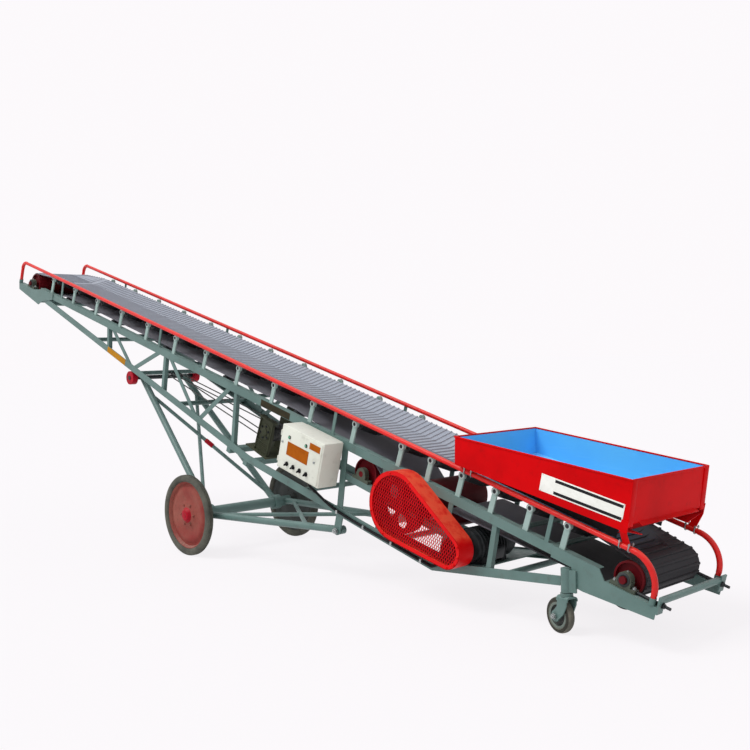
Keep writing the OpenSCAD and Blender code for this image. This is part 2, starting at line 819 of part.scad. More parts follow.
// Upright winch: two cheeks with the rope drum between them, a gear case and the motor on it
module winch() {
  color("#5A5C48") on_low_chord() translate([winch_t, 0, 0]) {
    translate([0, -180, 0]) cube([300, 360, 10]);
    for (y = [-150, 60]) translate([90, y, 10]) cube([190, 12, 310]);
    translate([185, 72, 185]) rotate([90, 0, 0]) cylinder(d = 120, h = 222);
    for (y = [-136, 46]) translate([185, y + 14, 185]) rotate([90, 0, 0]) cylinder(d = 180, h = 8);
    translate([85, 72, 10]) cube([200, 100, 280]);
    translate([185, 122, 290]) cylinder(d = 150, h = 110);
  }
}

pin_d = 28;
ear_r = 34;
module pivot_ears() {
  color("#6E8A80") on_boom() both_sides() across(-side_y, -side_y + 12) difference() {
    union() {
      translate([pivot_s - ear_r, -pivot_depth]) square([2 * ear_r, pivot_depth - truss_depth]);
      translate([pivot_s, -pivot_depth]) circle(r = ear_r);
    }
    translate([pivot_s, -pivot_depth]) circle(d = pin_d + 0.2);
  }
}

// Carriage stay: axle beam, two stay tubes to the pivot ears and two crossing braces

stay_y = side_y - 48;
hub_y = track / 2 - wheel_w / 2 - 20;
beam_d = 90;
stay_foot_y = hub_y - 50;
module axle_beam() {
  color("#6E8A80") {
    disc(axle, beam_d, -hub_y, hub_y);
    disc(axle, 40, -track / 2 - 42, track / 2 + 42);
  }
}
module stay_tubes() {
  color("#6E8A80") both_sides() {
    difference() {
      rod([axle[0] + 20, -stay_foot_y, axle[1]], [pivot[0], -stay_y, pivot[1]], stay_d);
      disc(axle, beam_d, -hub_y, 0);
    }
    disc(pivot, 64, -stay_y - 24, -stay_y + 24);
    disc(pivot, pin_d, -side_y - 20, -stay_y);
  }
}
brace_d = 34;
// Ends of a stay brace as shares of the stay tubes
brace_start = 0.08;
brace_end = 0.78;
function stay_point(k, side) = [
  axle[0] + 20 + (pivot[0] - axle[0] - 20) * k,
  side * (stay_foot_y + (stay_y - stay_foot_y) * k),
  axle[1] + (pivot[1] - axle[1]) * k
];
module stay_braces() {
  color("#6E8A80") difference() {
    both_sides() rod(stay_point(brace_start, -1), stay_point(brace_end, 1), brace_d);
    both_sides() rod([axle[0] + 20, -stay_foot_y, axle[1]], [pivot[0], -stay_y, pivot[1]], stay_d);
  }
}

// Lift legs: two tubes from the axle up to the trolley under the lower chords

leg_foot_y = hub_y - 156;
leg_top_y = side_y - 138;
module leg_tubes() {
  color("#6E8A80") both_sides() difference() {
    union() {
      rod([axle[0], -leg_foot_y, axle[1]], [trolley[0], -leg_top_y, trolley[1]], leg_d);
      disc(axle, 130, -leg_foot_y - 35, -leg_foot_y + 35);
    }
    disc(axle, beam_d + 0.2, -leg_foot_y - 60, -leg_foot_y + 60);
    disc(trolley, trolley_shaft_d, -leg_top_y - 60, -leg_top_y + 60);
  }
}
function leg_point(k, side) = [
  axle[0] + (trolley[0] - axle[0]) * k,
  side * (leg_foot_y + (leg_top_y - leg_foot_y) * k),
  axle[1] + (trolley[1] - axle[1]) * k
];
module leg_braces() {
  color("#6E8A80") difference() {
    for (k = [-1, 1]) rod(leg_point(0.06, k), leg_point(0.86, -k), brace_d);
    both_sides() rod([axle[0], -leg_foot_y, axle[1]], [trolley[0], -leg_top_y, trolley[1]], leg_d);
  }
}
trolley_shaft_d = 40;
module trolley_shaft() {
  color("#3A3D40") disc(trolley, trolley_shaft_d, -side_y - 10, side_y + 10);
}
module trolley_rollers() {
  color("#C01028") both_sides() difference() {
    disc(trolley, trolley_d, -side_y - 5, -side_y + 50);
    disc(trolley, trolley_shaft_d, -side_y - 6, -side_y + 51);
  }
}

// Wheels

tyre_t = 42;
module wheel_disc() {
  translate([axle[0], -track / 2, axle[1]]) rotate([90, 0, 0]) rotate_extrude() difference() {
    polygon([[20.1, -50], [60, -50], [70, -18], [wheel_d / 2 - tyre_t - 30, 4],
      [wheel_d / 2 - tyre_t - 14, -wheel_w / 2 + 8], [wheel_d / 2 - tyre_t, -wheel_w / 2 + 8],
      [wheel_d / 2 - tyre_t, wheel_w / 2 - 8], [wheel_d / 2 - tyre_t - 10, wheel_w / 2 - 8],
      [wheel_d / 2 - tyre_t - 30, 14], [70, -4], [60, 40], [20.1, 40]]);
  }
}
module wheel_tyre() {
  translate([axle[0], -track / 2, axle[1]]) rotate([90, 0, 0]) rotate_extrude()
    polygon([[wheel_d / 2 - tyre_t, -wheel_w / 2], [wheel_d / 2 - 10, -wheel_w / 2],
      [wheel_d / 2, -wheel_w / 2 + 10], [wheel_d / 2, wheel_w / 2 - 10],
      [wheel_d / 2 - 10, wheel_w / 2], [wheel_d / 2 - tyre_t, wheel_w / 2]]);
}
module wheel_near_disc() { color("#8A3B3A") wheel_disc(); }
module wheel_near_tyre() { color("#6B6B60") wheel_tyre(); }
module wheel_far_disc() { color("#8A3B3A") mirror([0, 1, 0]) wheel_disc(); }
module wheel_far_tyre() { color("#6B6B60") mirror([0, 1, 0]) wheel_tyre(); }

// Casters

module at_swivel() {
  translate([swivel[0], -swivel[1], 0]) rotate([0, 0, caster_turn]) children();
}
fork_y = caster_w / 2 + 6;
module caster_fork() {
  at_swivel() {
    translate([0, 0, swivel_z - 24]) cylinder(d = 78, h = 20);
    translate([0, 0, swivel_z - 5]) cylinder(d = 39.8, h = swivel_tube_h + 10);
    for (k = [-1, 1]) translate([0, k * (fork_y + 4), 0]) across(-4, 4) {
      polygon([[-40, swivel_z - 40], [42, swivel_z - 40], [40, swivel_z - 75], [12, caster_d / 2 + 22],
        [-caster_trail + 24, caster_d / 2 - 22], [-caster_trail - 30, caster_d / 2],
        [-caster_trail - 20, caster_d / 2 + 26], [-46, swivel_z - 90]]);
      translate([-caster_trail, caster_d / 2]) circle(d = 70);
    }
    lengthwise(-50, 50) polygon([
      for (a = [0 : 15 : 90]) [fork_y - 14 + 22 * cos(a), swivel_z - 44 + 22 * sin(a)],
      for (a = [90 : 15 : 180]) [14 - fork_y + 22 * cos(a), swivel_z - 44 + 22 * sin(a)],
      [-fork_y - 8, swivel_z - 52], [-fork_y, swivel_z - 52],
      for (a = [180 : -30 : 90]) [10 - fork_y + 10 * cos(a), swivel_z - 43 + 10 * sin(a)],
      for (a = [90 : -30 : 0]) [fork_y - 10 + 10 * cos(a), swivel_z - 43 + 10 * sin(a)],
      [fork_y, swivel_z - 52], [fork_y + 8, swivel_z - 52]]);
    disc([-caster_trail, caster_d / 2], 24, -fork_y - 20, fork_y + 20);
  }
}
module caster_wheel() {
  at_swivel() difference() {
    disc([-caster_trail, caster_d / 2], caster_d, -caster_w / 2, caster_w / 2);
    disc([-caster_trail, caster_d / 2], 24.2, -caster_w / 2 - 1, caster_w / 2 + 1);
  }
}
module caster_near_fork() { color("#6E8A80") caster_fork(); }
module caster_near_wheel() { color("#6B6B60") caster_wheel(); }
module caster_far_fork() { color("#6E8A80") mirror([0, 1, 0]) caster_fork(); }
module caster_far_wheel() { color("#6B6B60") mirror([0, 1, 0]) caster_wheel(); }

upper_chords();
lower_chords();
truss_webs();
cross_members();
head_plates();
tail_plates();
caster_posts();
idler_posts();
idler_shafts();
trough_rollers();
return_rollers();
rail_posts();
guard_rail_near();
guard_rail_far();
belt_carry();
belt_ends();
belt_return();
head_pulley();
tail_pulley();
drive_drum();
bend_drums();
bearing_blocks();
take_up_screws();
tow_bar();
hopper_near();
hopper_far();
hopper_head();
hopper_tail();
hopper_legs();
hopper_skirts();
control_box();
control_labels();
control_switches();
winch();
winch_frame();
drive_motor();
drive_beams();
motor_base();
drive_sheaves();
v_belts();
belt_guard();
pivot_ears();
axle_beam();
stay_tubes();
stay_braces();
leg_tubes();
leg_braces();
trolley_shaft();
trolley_rollers();
wheel_near_disc();
wheel_near_tyre();
wheel_far_disc();
wheel_far_tyre();
caster_near_fork();
caster_near_wheel();
caster_far_fork();
caster_far_wheel();
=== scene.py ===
"""Looks of a truck loading belt conveyor: finishes, fittings, light and camera on its CAD frame."""

from __future__ import annotations

import json
import logging
import math
from dataclasses import dataclass
from enum import Enum
from itertools import product
from typing import Any, Iterable, Sequence

import bmesh
import bpy
from mathutils import Matrix, Vector

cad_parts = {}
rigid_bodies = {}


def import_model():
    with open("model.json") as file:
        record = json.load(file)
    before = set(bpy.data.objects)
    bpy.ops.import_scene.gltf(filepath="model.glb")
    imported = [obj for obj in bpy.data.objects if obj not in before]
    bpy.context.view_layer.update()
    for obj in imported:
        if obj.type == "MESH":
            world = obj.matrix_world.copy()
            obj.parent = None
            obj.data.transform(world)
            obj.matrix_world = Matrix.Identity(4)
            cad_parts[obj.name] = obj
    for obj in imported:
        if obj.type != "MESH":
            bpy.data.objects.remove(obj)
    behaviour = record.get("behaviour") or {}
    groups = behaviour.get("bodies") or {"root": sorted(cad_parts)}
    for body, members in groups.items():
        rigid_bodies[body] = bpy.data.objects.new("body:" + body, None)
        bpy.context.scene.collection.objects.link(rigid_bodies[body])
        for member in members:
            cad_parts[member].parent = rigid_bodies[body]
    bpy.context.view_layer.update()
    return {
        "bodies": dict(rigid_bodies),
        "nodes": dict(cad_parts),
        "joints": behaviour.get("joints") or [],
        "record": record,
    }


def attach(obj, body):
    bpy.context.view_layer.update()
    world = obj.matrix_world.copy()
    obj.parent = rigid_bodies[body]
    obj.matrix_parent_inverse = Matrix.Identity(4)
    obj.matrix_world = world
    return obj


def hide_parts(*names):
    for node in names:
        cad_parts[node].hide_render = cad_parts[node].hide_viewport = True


LOG = logging.getLogger("conveyor")
Colour = tuple[float, float, float, float]
Flat = tuple[float, float]
Outline = tuple[Flat, ...]
Point = tuple[float, float, float]
Box = tuple[Point, Point]
MM = 0.001
TINY = 1e-6
SIDES = (-1, 1)
NEAR = Vector((0, -1, 0))
FAR = Vector((0, 1, 0))
AXLE = (-387.573, 347.5)


def tone(code: str) -> Colour:
    """Turns a written colour such as 6E8A80 into linear light.

    Args:
        code: six hexadecimal digits.

    Returns:
        The colour with an alpha of 1.
    """
    parts = [int(code[i:i + 2], 16) / 255 for i in (0, 2, 4)]
    r, g, b = ((v / 12.92) if v <= 0.04045 else ((v + 0.055) / 1.055) ** 2.4 for v in parts)
    return (r, g, b, 1.0)


class Value:
    """A socket of a node tree that can be used in sums."""

    def __init__(self, shader: "Shader", socket: bpy.types.NodeSocket) -> None:
        """Keeps the tree and the socket."""
        self.shader = shader
        self.socket = socket

    def _math(self, operation: str, a: Any, b: Any) -> "Value":
        """Adds one Math node on a and b."""
        return self.shader.node("ShaderNodeMath", {"operation": operation}, {0: a, 1: b})

    def __add__(self, other: Any) -> "Value":
        """Sum."""
        return self._math("ADD", self, other)

    def __radd__(self, other: Any) -> "Value":
        """Reflected sum."""
        return self._math("ADD", other, self)

    def __sub__(self, other: Any) -> "Value":
        """Difference."""
        return self._math("SUBTRACT", self, other)

    def __rsub__(self, other: Any) -> "Value":
        """Reflected difference."""
        return self._math("SUBTRACT", other, self)

    def __mul__(self, other: Any) -> "Value":
        """Product."""
        return self._math("MULTIPLY", self, other)

    def __rmul__(self, other: Any) -> "Value":
        """Reflected product."""
        return self._math("MULTIPLY", other, self)

    def over(self, low: float, high: float) -> "Value":
        """Smooth step of this value.

        Args:
            low: value that gives 0.
            high: value that gives 1.

        Returns:
            The step as a new value.
        """
        return self.shader.node(
            "ShaderNodeMapRange", {"interpolation_type": "SMOOTHSTEP", "clamp": True},
            {"Value": self, "From Min": low, "From Max": high, "To Min": 0.0, "To Max": 1.0})


class Shader:
    """Node tree of one material, built from expressions."""

    def __init__(self, owner: bpy.types.Material | bpy.types.World) -> None:
        """Empties the node tree of a material or a world."""
        self.owner = owner
        self.tree = owner.node_tree
        self.tree.nodes.clear()

    @classmethod
    def named(cls, name: str) -> "Shader":
        """Starts a new material."""
        material = bpy.data.materials.new(name)
        material.use_nodes = True
        return cls(material)

    def seen(self) -> Value:
        """1 for what the camera sees straight, in a mirror or through glass."""
        kinds = ("Camera", "Glossy", "Transmission")
        camera, mirror, glass = (self.node("ShaderNodeLightPath", out=f"Is {kind} Ray") for kind in kinds)
        return (camera + mirror + glass).over(0.4, 0.6)

    def node(self, kind: str, settings: dict[str, Any] | None = None,
             sockets: dict[Any, Any] | None = None, out: Any = 0) -> Value:
        """Adds any node.

        Args:
            kind: the node's type name.
            settings: its settings, which are set first; stops are a ramp's places and colours.
            sockets: values or links of its inputs, by name or number.
            out: name or number of the output that is wanted.

        Returns:
            That output.
        """
        made = self.tree.nodes.new(kind)
        for key, value in (settings or {}).items():
            if key == "stops":
                ramp = made.color_ramp
                while len(ramp.elements) < len(value):
                    ramp.elements.new(0.5)
                for element, (place, colour) in zip(ramp.elements, value):
                    element.position, element.color = place, colour
            else:
                setattr(made, key, value)
        for key, value in (sockets or {}).items():
            if isinstance(value, Value):
                self.tree.links.new(value.socket, made.inputs[key])
            else:
                made.inputs[key].default_value = value
        return Value(self, made.outputs[out])

    def place(self) -> Value:
        """Object coordinates."""
        return self.node("ShaderNodeTexCoord", out="Object")

    def noise(self, where: Value, scale: float, detail: float = 3.0, rough: float = 0.55) -> Value:
        """Noise on a place.

        Args:
            where: the coordinates.
            scale: waves in a metre.
            detail: octaves.
            rough: weight of the finer octaves.

        Returns:
            The noise from 0 to 1.
        """
        return self.node("ShaderNodeTexNoise", None,
                         {"Vector": where, "Scale": scale, "Detail": detail, "Roughness": rough})

    def stretched(self, where: Value, scale: Point) -> Value:
        """Coordinates stretched by a Mapping node.

        Args:
            where: the coordinates.
            scale: stretch along each axis.

        Returns:
            The new coordinates.
        """
        return self.node("ShaderNodeMapping", None, {"Vector": where, "Scale": scale})

    def distance(self, where: Value, axis: Vector) -> Value:
        """Distance of a place along a direction.

        Args:
            where: the coordinates.
            axis: the direction, one metre long.

        Returns:
            The distance in metres.
        """
        return self.node("ShaderNodeVectorMath", {"operation": "DOT_PRODUCT"}, {0: where, 1: axis}, "Value")

    def mix(self, factor: Any, a: Any, b: Any) -> Value:
        """Mixes two colours.

        Args:
            factor: share of b.
            a: first colour or value.
            b: second colour or value.

        Returns:
            The mixed colour.
        """
        return self.node("ShaderNodeMix", {"data_type": "RGBA", "clamp_factor": True},
                         {0: factor, 6: a, 7: b}, 2)

    def upward(self) -> Value:
        """How far a face looks up, from -1 to 1."""
        normal = self.node("ShaderNodeNewGeometry", out="Normal")
        return self.node("ShaderNodeSeparateXYZ", None, {0: normal}, "Z")

    def bump(self, height: Value, strength: float, distance: float) -> Value:
        """Normal of a bumpy face.

        Args:
            height: height from 0 to 1.
            strength: share of the bump.
            distance: height in metres.

        Returns:
            The normal.
        """
        return self.node("ShaderNodeBump", None,
                         {"Height": height, "Strength": strength, "Distance": distance})

    def close(self, **sockets: Any) -> bpy.types.Material:
        """Ends the tree with a Principled shader.

        Args:
            sockets: its inputs, with _ for a space.

        Returns:
            The material.
        """
        surface = self.node("ShaderNodeBsdfPrincipled", None,
                            {key.replace("_", " "): value for key, value in sockets.items()})
        self.node_output(surface)
        return self.owner

    def node_output(self, surface: Value) -> None:
        """Links a surface to the output of the material or world."""
        kind = "World" if isinstance(self.owner, bpy.types.World) else "Material"
        end = self.tree.nodes.new(f"ShaderNodeOutput{kind}")
        self.tree.links.new(surface.socket, end.inputs["Surface"])


class Finish:
    """A finish that makes its material once."""

    name: str

    def draw(self, shader: Shader) -> bpy.types.Material:
        """Fills the shader."""
        raise NotImplementedError

    def material(self) -> bpy.types.Material:
        """The material, made on first use."""
        known = bpy.data.materials.get(self.name)
        return known if known else self.draw(Shader.named(self.name))


@dataclass(frozen=True)
class Paint(Finish):
    """Sprayed enamel on steel, with chips and faint orange peel; top faces take dust, on the rail and guard
    mostly a painted highlight.
    """

    name: str
    colour: str
    shade: str
    chip: str = "4A3B33"
    # Colour and share on top faces: dust, which on the rail and guard coats is mostly a painted highlight.
    dust: str = "A9ADA6"
    gloss: float = 0.36
    chips: float = 0.10
    dusty: float = 0.28
    shine: float = 0.3

    def draw(self, shader: Shader) -> bpy.types.Material:
        """Draws the enamel.

        Args:
            shader: the tree to fill.

        Returns:
            The material.
        """
        where = shader.place()
        cloud = shader.noise(where, 2.4, 5.0, 0.6)
        grime = shader.noise(where, 14.0, 6.0, 0.65)
        peel = shader.noise(where, 420.0, 2.0, 0.5)
        flake = shader.noise(where, 55.0, 8.0, 0.72)
        coat = shader.mix(cloud.over(0.35, 0.72), tone(self.colour), tone(self.shade))
        coat = shader.mix(grime.over(0.52, 0.80) * 0.35, coat, tone(self.chip))
        # Top faces take the dust colour: real dust on most coats, mostly a painted highlight on the rail
        # and guard.
        dust_and_highlight = shader.upward().over(0.35, 0.95) * grime.over(0.25, 0.62) * self.dusty
        coat = shader.mix(dust_and_highlight, coat, tone(self.dust))
        edge = 0.72 - self.chips * 0.6
        bare = flake.over(edge, edge + 0.035) * cloud.over(0.38, 0.62)
        colour = shader.mix(bare, coat, tone(self.chip))
        rough = self.gloss + dust_and_highlight * 0.5 + bare * 0.35 + grime * 0.08
        height = peel * 0.10 + cloud * 0.1 - bare * 0.5
        return shader.close(Base_Color=colour, Roughness=rough, Metallic=0.0,
                            Specular_IOR_Level=self.shine, Normal=shader.bump(height, 0.35, 0.0006))


@dataclass(frozen=True)
class Lining(Finish):
    """Scuffed enamel inside the hopper, rubbed in streaks by the sacks and dusty on the slopes."""

    name: str
    colour: str
    shade: str
    scuff: str
    outer: str
    chute: Point = (7374.0, 0.0, 341.0)
    chute_slope: Flat = (138.0, -150.0)
    chute_blend: float = 0.004

    def draw(self, shader: Shader) -> bpy.types.Material:
        """Draws the lining, with the outer red on what stands out past the tail chute.

        Args:
            shader: the tree to fill.

        Returns:
            The material.
        """
        where = shader.place()
        cloud = shader.noise(where, 1.8, 4.0, 0.55)
        streak = shader.noise(shader.stretched(where, (3.0, 3.0, 60.0)), 1.0, 5.0, 0.65)
        fine = shader.noise(where, 260.0, 3.0, 0.6)
        coat = shader.mix(cloud.over(0.35, 0.7), tone(self.colour), tone(self.shade))
        rubbed = streak.over(0.55, 0.78) * 0.30 + shader.upward().over(0.3, 0.95) * 0.45
        out = (BOOM.along * self.chute_slope[0] + BOOM.up * self.chute_slope[1]).normalized()
        edge = BOOM.at(*self.chute).dot(out)
        past = shader.distance(where, out).over(edge, edge + self.chute_blend)
        inside = shader.mix(rubbed, coat, tone(self.scuff))
        colour = shader.mix(past, inside, tone(self.outer))
        return shader.close(Base_Color=colour, Roughness=0.36 + rubbed * 0.3, Specular_IOR_Level=0.45,
                            Normal=shader.bump(fine * 0.3 + streak * 0.4, 0.25, 0.0006))


@dataclass(frozen=True)
class Steel(Finish):
    """Bare or blackened steel, with grease in the hollows and rubbed high spots."""

    name: str
    colour: str
    worn: str
    metal: float = 0.7
    gloss: float = 0.42

    def draw(self, shader: Shader) -> bpy.types.Material:
        """Draws the steel.

        Args:
            shader: the tree to fill.

        Returns:
            The material.
        """
        where = shader.place()
        cloud = shader.noise(where, 9.0, 6.0, 0.62)
        turned = shader.noise(shader.stretched(where, (30.0, 900.0, 30.0)), 1.0, 3.0, 0.6)
        pits = shader.noise(where, 330.0, 4.0, 0.6)
        colour = shader.mix(cloud.over(0.42, 0.75), tone(self.colour), tone(self.worn))
        rough = self.gloss + cloud * 0.25 - turned * 0.08
        return shader.close(Base_Color=colour, Roughness=rough, Metallic=self.metal,
                            Normal=shader.bump(pits * 0.6 + turned * 0.2, 0.3, 0.0005))


@dataclass(frozen=True)
class BeltRubber(Finish):
    """Belt rubber: dusted grey where it carries, its own colour on faces that look down, and near black as
    painted shade under the hopper and round the tail.
    """

    name: str
    top: str
    under: str
    scuff: str
    # Near-black rubber from under the hopper to the tail: painted shade for the hopper's shadow and the
    # tail's shade.
    hopper_shade: str = "2B2A2D"
    hopper_shade_run: Flat = (6.2, 6.9)

    def draw(self, shader: Shader) -> bpy.types.Material:
        """Draws the rubber.

        Args:
            shader: the tree to fill.

        Returns:
            The material.
        """
        where = shader.place()
        along = shader.stretched(where, (2.0, 46.0, 2.0))
        scuff = shader.noise(along, 1.0, 6.0, 0.65)
        cloud = shader.noise(where, 3.1, 5.0, 0.6)
        grain = shader.noise(where, 650.0, 3.0, 0.6)
        # Faces that look down take the under colour, which on the return run's coat is darker as painted
        # shade.
        face = shader.mix(shader.upward().over(0.05, 0.75), tone(self.under), tone(self.top))
        face = shader.mix(cloud.over(0.45, 0.75) * 0.45, face, tone(self.under))
        dusty = shader.mix(scuff.over(0.52, 0.80) * 0.40, face, tone(self.scuff))
        # Painted shade: the rubber turns near black from under the hopper on to the tail.
        start = Vector(BOOM.origin).dot(BOOM.along)
        low, high = (start + place for place in self.hopper_shade_run)
        run = shader.distance(where, BOOM.along).over(low, high)
        hopper_shade_mask = run * (1.0 - scuff.over(0.60, 0.85) * 0.4)
        colour = shader.mix(hopper_shade_mask, dusty, tone(self.hopper_shade))
        return shader.close(Base_Color=colour, Roughness=0.60 + scuff * 0.2, Specular_IOR_Level=0.25,
                            Normal=shader.bump(grain * 0.5 + scuff * 0.3, 0.4, 0.0008))


@dataclass(frozen=True)
class TyreRubber(Finish):
    """Tyre rubber with road dust, most of it on the tread and low on the walls."""

    name: str
    colour: str
    dust: str

    def draw(self, shader: Shader) -> bpy.types.Material:
        """Draws the rubber.

        Args:
            shader: the tree to fill.

        Returns:
            The material.
        """
        where = shader.place()
        cloud = shader.noise(where, 7.0, 6.0, 0.65)
        grain = shader.noise(where, 420.0, 4.0, 0.6)
        mud = shader.noise(where, 34.0, 6.0, 0.7)
        share = cloud.over(0.30, 0.66) * 0.55 + mud.over(0.52, 0.74) * 0.35
        colour = shader.mix(share, tone(self.colour), tone(self.dust))
        return shader.close(Base_Color=colour, Roughness=0.74 + share * 0.2, Specular_IOR_Level=0.35,
                            Normal=shader.bump(grain * 0.5 + mud * 0.6, 0.45, 0.0012))


@dataclass(frozen=True)
class Plate(Finish):
    """Printed label sheet or moulded plastic with faint dirt."""

    name: str
    colour: str
    shade: str
    gloss: float = 0.4
    shine: float = 0.08

    def draw(self, shader: Shader) -> bpy.types.Material:
        """Draws the sheet.

        Args:
            shader: the tree to fill.

        Returns:
            The material.
        """
        where = shader.place()
        cloud = shader.noise(where, 16.0, 5.0, 0.6)
        fine = shader.noise(where, 700.0, 2.0, 0.5)
        colour = shader.mix(cloud.over(0.35, 0.75), tone(self.colour), tone(self.shade))
        return shader.close(Base_Color=colour, Roughness=self.gloss + cloud * 0.15,
                            Specular_IOR_Level=self.shine, Normal=shader.bump(fine, 0.15, 0.0003))


@dataclass(frozen=True)
class WireRope(Finish):
    """Galvanised wire rope with a greasy twist."""

    name: str
    colour: str
    grease: str

    def draw(self, shader: Shader) -> bpy.types.Material:
        """Draws the rope.

        Args:
            shader: the tree to fill.

        Returns:
            The material.
        """
        where = shader.place()
        twist = shader.node("ShaderNodeTexWave", {"wave_type": "BANDS", "bands_direction": "DIAGONAL"},
                            {"Vector": where, "Scale": 45.0, "Distortion": 1.0, "Detail": 1.0}, 1)
        cloud = shader.noise(where, 30.0, 4.0, 0.6)
        colour = shader.mix(cloud.over(0.4, 0.7) * 0.7, tone(self.colour), tone(self.grease))
        return shader.close(Base_Color=colour, Roughness=0.45 + cloud * 0.25, Metallic=0.75,
                            Normal=shader.bump(twist, 0.6, 0.001))


class Coat(Enum):
    """Finishes of the machine."""

    FRAME = Paint("frame_enamel", "607A75", "546E69", dust="8FA5A0", gloss=0.36, chips=0.10,
                  dusty=0.40, shine=0.35)
    POST = Paint("post_enamel", "98AEA8", "8AA09A", chip="5A6A64", dust="B9C8C4", gloss=0.45,
                 chips=0.08, dusty=0.40, shine=0.25)
    # The rail's light salmon colour on top faces is mostly a painted highlight, with some dust.
    RAIL = Paint("rail_enamel", "DC1C18", "C61512", chip="6E1814", dust="F26A58", gloss=0.28,
                 chips=0.05, dusty=0.45, shine=0.3)
    HOPPER = Paint("hopper_enamel", "CE040A", "BA0308", chip="74100E", dust="E04038", gloss=0.34,
                   chips=0.02, dusty=0.12, shine=0.04)
    LINING = Lining("hopper_lining", "62C4FF", "58BAFC", "8ED8FF", "B80A10")
    # The guard's bright orange colour on top faces is mostly a painted highlight, with some dust.
    GUARD = Paint("guard_enamel", "DC0A10", "CC070C", chip="8A100E", dust="FF7850", gloss=0.34,
                  chips=0.02, dusty=0.58, shine=0.12)
    MESH = Paint("grille_enamel", "D60C18", "BA0A12", chip="5A0A0C", dust="C04A44", gloss=0.5,
                 chips=0.1, dusty=0.3, shine=0.1)
    DRUM = Paint("drum_enamel", "640C16", "520910", chip="2E1512", dust="86403C", gloss=0.5,
                 chips=0.12, dusty=0.3, shine=0.12)
    WHEEL = Paint("wheel_enamel", "82302C", "94564A", chip="5A4338", dust="A78A80", gloss=0.55,
                  chips=0.22, dusty=0.55, shine=0.15)
    # Dark grey on the road wheels' inner faces and the caster dishes: painted shade.
    WHEEL_SHADE = Paint("wheel_painted_shade", "464A48", "3A3E3C", chip="2C2620", dust="686C68",
                       gloss=0.6, chips=0.2, dusty=0.4, shine=0.2)
    HUB = Paint("hub_enamel", "B00A24", "98081E", chip="54201C", dust="CC6A60", gloss=0.38,
                chips=0.06, shine=0.12)
    BOX = Paint("box_enamel", "DDDED2", "D2D3C6", chip="8E8A7C", dust="EDEEE6", gloss=0.42,
                chips=0.02, dusty=0.3)
    WINCH = Paint("winch_enamel", "4E513E", "3E4132", chip="2A2820", dust="6E715C", gloss=0.55,
                  chips=0.2, dusty=0.4, shine=0.2)
    BEARING = Paint("bearing_enamel", "4C5347", "3E453A", chip="2A2A24", dust="6C7164", gloss=0.5,
                    chips=0.2, dusty=0.4)
    RIM = Paint("rim_enamel", "6C766E", "5C665E", chip="3E423C", dust="868C82", gloss=0.5,
                chips=0.15, dusty=0.4)
    SOCKET = Paint("socket_zinc", "B9C4C1", "A6B2AF", chip="7E8784", dust="D5DCDA", gloss=0.38,
                   chips=0.05, dusty=0.3)
    CAUTION = Paint("caution_yellow", "B87E0A", "A87006", chip="5A4A20", dust="D8B45C", gloss=0.45,
                    chips=0.12, shine=0.1)
    DARK = Steel("oiled_steel", "2A2D2F", "45484A", 0.5, 0.48)
    BRIGHT = Steel("zinc_steel", "9A9F9F", "C4C8C6", 0.85, 0.30)
    BELT = BeltRubber("carrying_rubber", "9EA3AE", "A4A5AC", "BCBFC8")
    # The return run is the belt rubber painted darker: painted shade under the boom, darkest on faces that
    # look down.
    BELT_SHADED = BeltRubber("belt_return_painted_shade", "7A7A80", "6A6870", "84848A")
    TYRE = TyreRubber("road_rubber", "3C3D36", "6A695E")
    CASTER = TyreRubber("caster_rubber", "4E4D46", "7E7C6E")
    SHOULDER = TyreRubber("shoulder_rubber", "26261F", "3C3B33")
    ORANGE = Plate("orange_plate", "A85600", "9A4C00", 0.42)
    WHITE = Plate("white_plate", "EDEDE6", "E2E2DA", 0.38)
    BLACK = Plate("moulded_black", "1E1E20", "28282A", 0.5)
    TAPE = Plate("black_tape", "2E2A1E", "3C3524", 0.5)
    GREEN = Plate("green_lens", "6FA58A", "5F9478", 0.2)
    ROPE = WireRope("wire_rope", "6A6C6A", "2C2C28")

    @property
    def material(self) -> bpy.types.Material:
        """The material of this finish."""
        return self.value.material()


@dataclass(frozen=True)
class Boom:
    """Slope of the boom: s runs along it from the first idler, h stands on its chord tops."""

    incline: float = 16.0
    origin: Point = (-3.31057, 0.0, 2.43305)
    low_start: Flat = (-240.0, -126.2)
    low_slope: float = -6.293

    @property
    def matrix(self) -> Matrix:
        """Places (s, y, h) in the row frame."""
        return Matrix.Translation(self.origin) @ Matrix.Rotation(math.radians(self.incline), 4, "Y")

    def at(self, s: float, y: float, h: float) -> Vector:
        """Place of a point given in millimetres along the boom.

        Args:
            s: distance from the first idler.
            y: distance to the far side.
            h: height over the chord tops.

        Returns:
            The point in the row frame, in metres.
        """
        return self.matrix @ Vector((s * MM, y * MM, h * MM))

    def face(self, y: float) -> Matrix:
        """Upright plane along the boom at y: X along it, Y up from it and Z to the near side."""
        return self.matrix @ Matrix.Translation((0, y * MM, 0)) @ Matrix.Rotation(math.pi / 2, 4, "X")

    @property
    def low_chord(self) -> Matrix:
        """Frame along the lower chords from their head ends: X along them and Z square to them."""
        s, h = self.low_start
        return (self.matrix @ Matrix.Translation((s * MM, 0, h * MM))
                @ Matrix.Rotation(-math.radians(self.low_slope), 4, "Y"))

    @property
    def up(self) -> Vector:
        """Direction square to the boom's top."""
        return self.matrix.to_3x3() @ Vector((0, 0, 1))

    @property
    def along(self) -> Vector:
        """Direction along the boom to the tail."""
        return self.matrix.to_3x3() @ Vector((1, 0, 0))


BOOM = Boom()


@dataclass(frozen=True)
class Hexagon:
    """Sizes of a hexagon bolt as shares of its thread's diameter; sunk is in metres."""

    washer_t: float = 0.16
    washer_d: float = 2.1
    sunk: float = 0.0005
    head_t: float = 0.7
    head_d: float = 1.8
    head_bevel: float = 0.12
    thread: Flat = (0.6, 1.05)
    thread_d: float = 0.9
    thread_bevel: float = 0.08


HEXAGON = Hexagon()


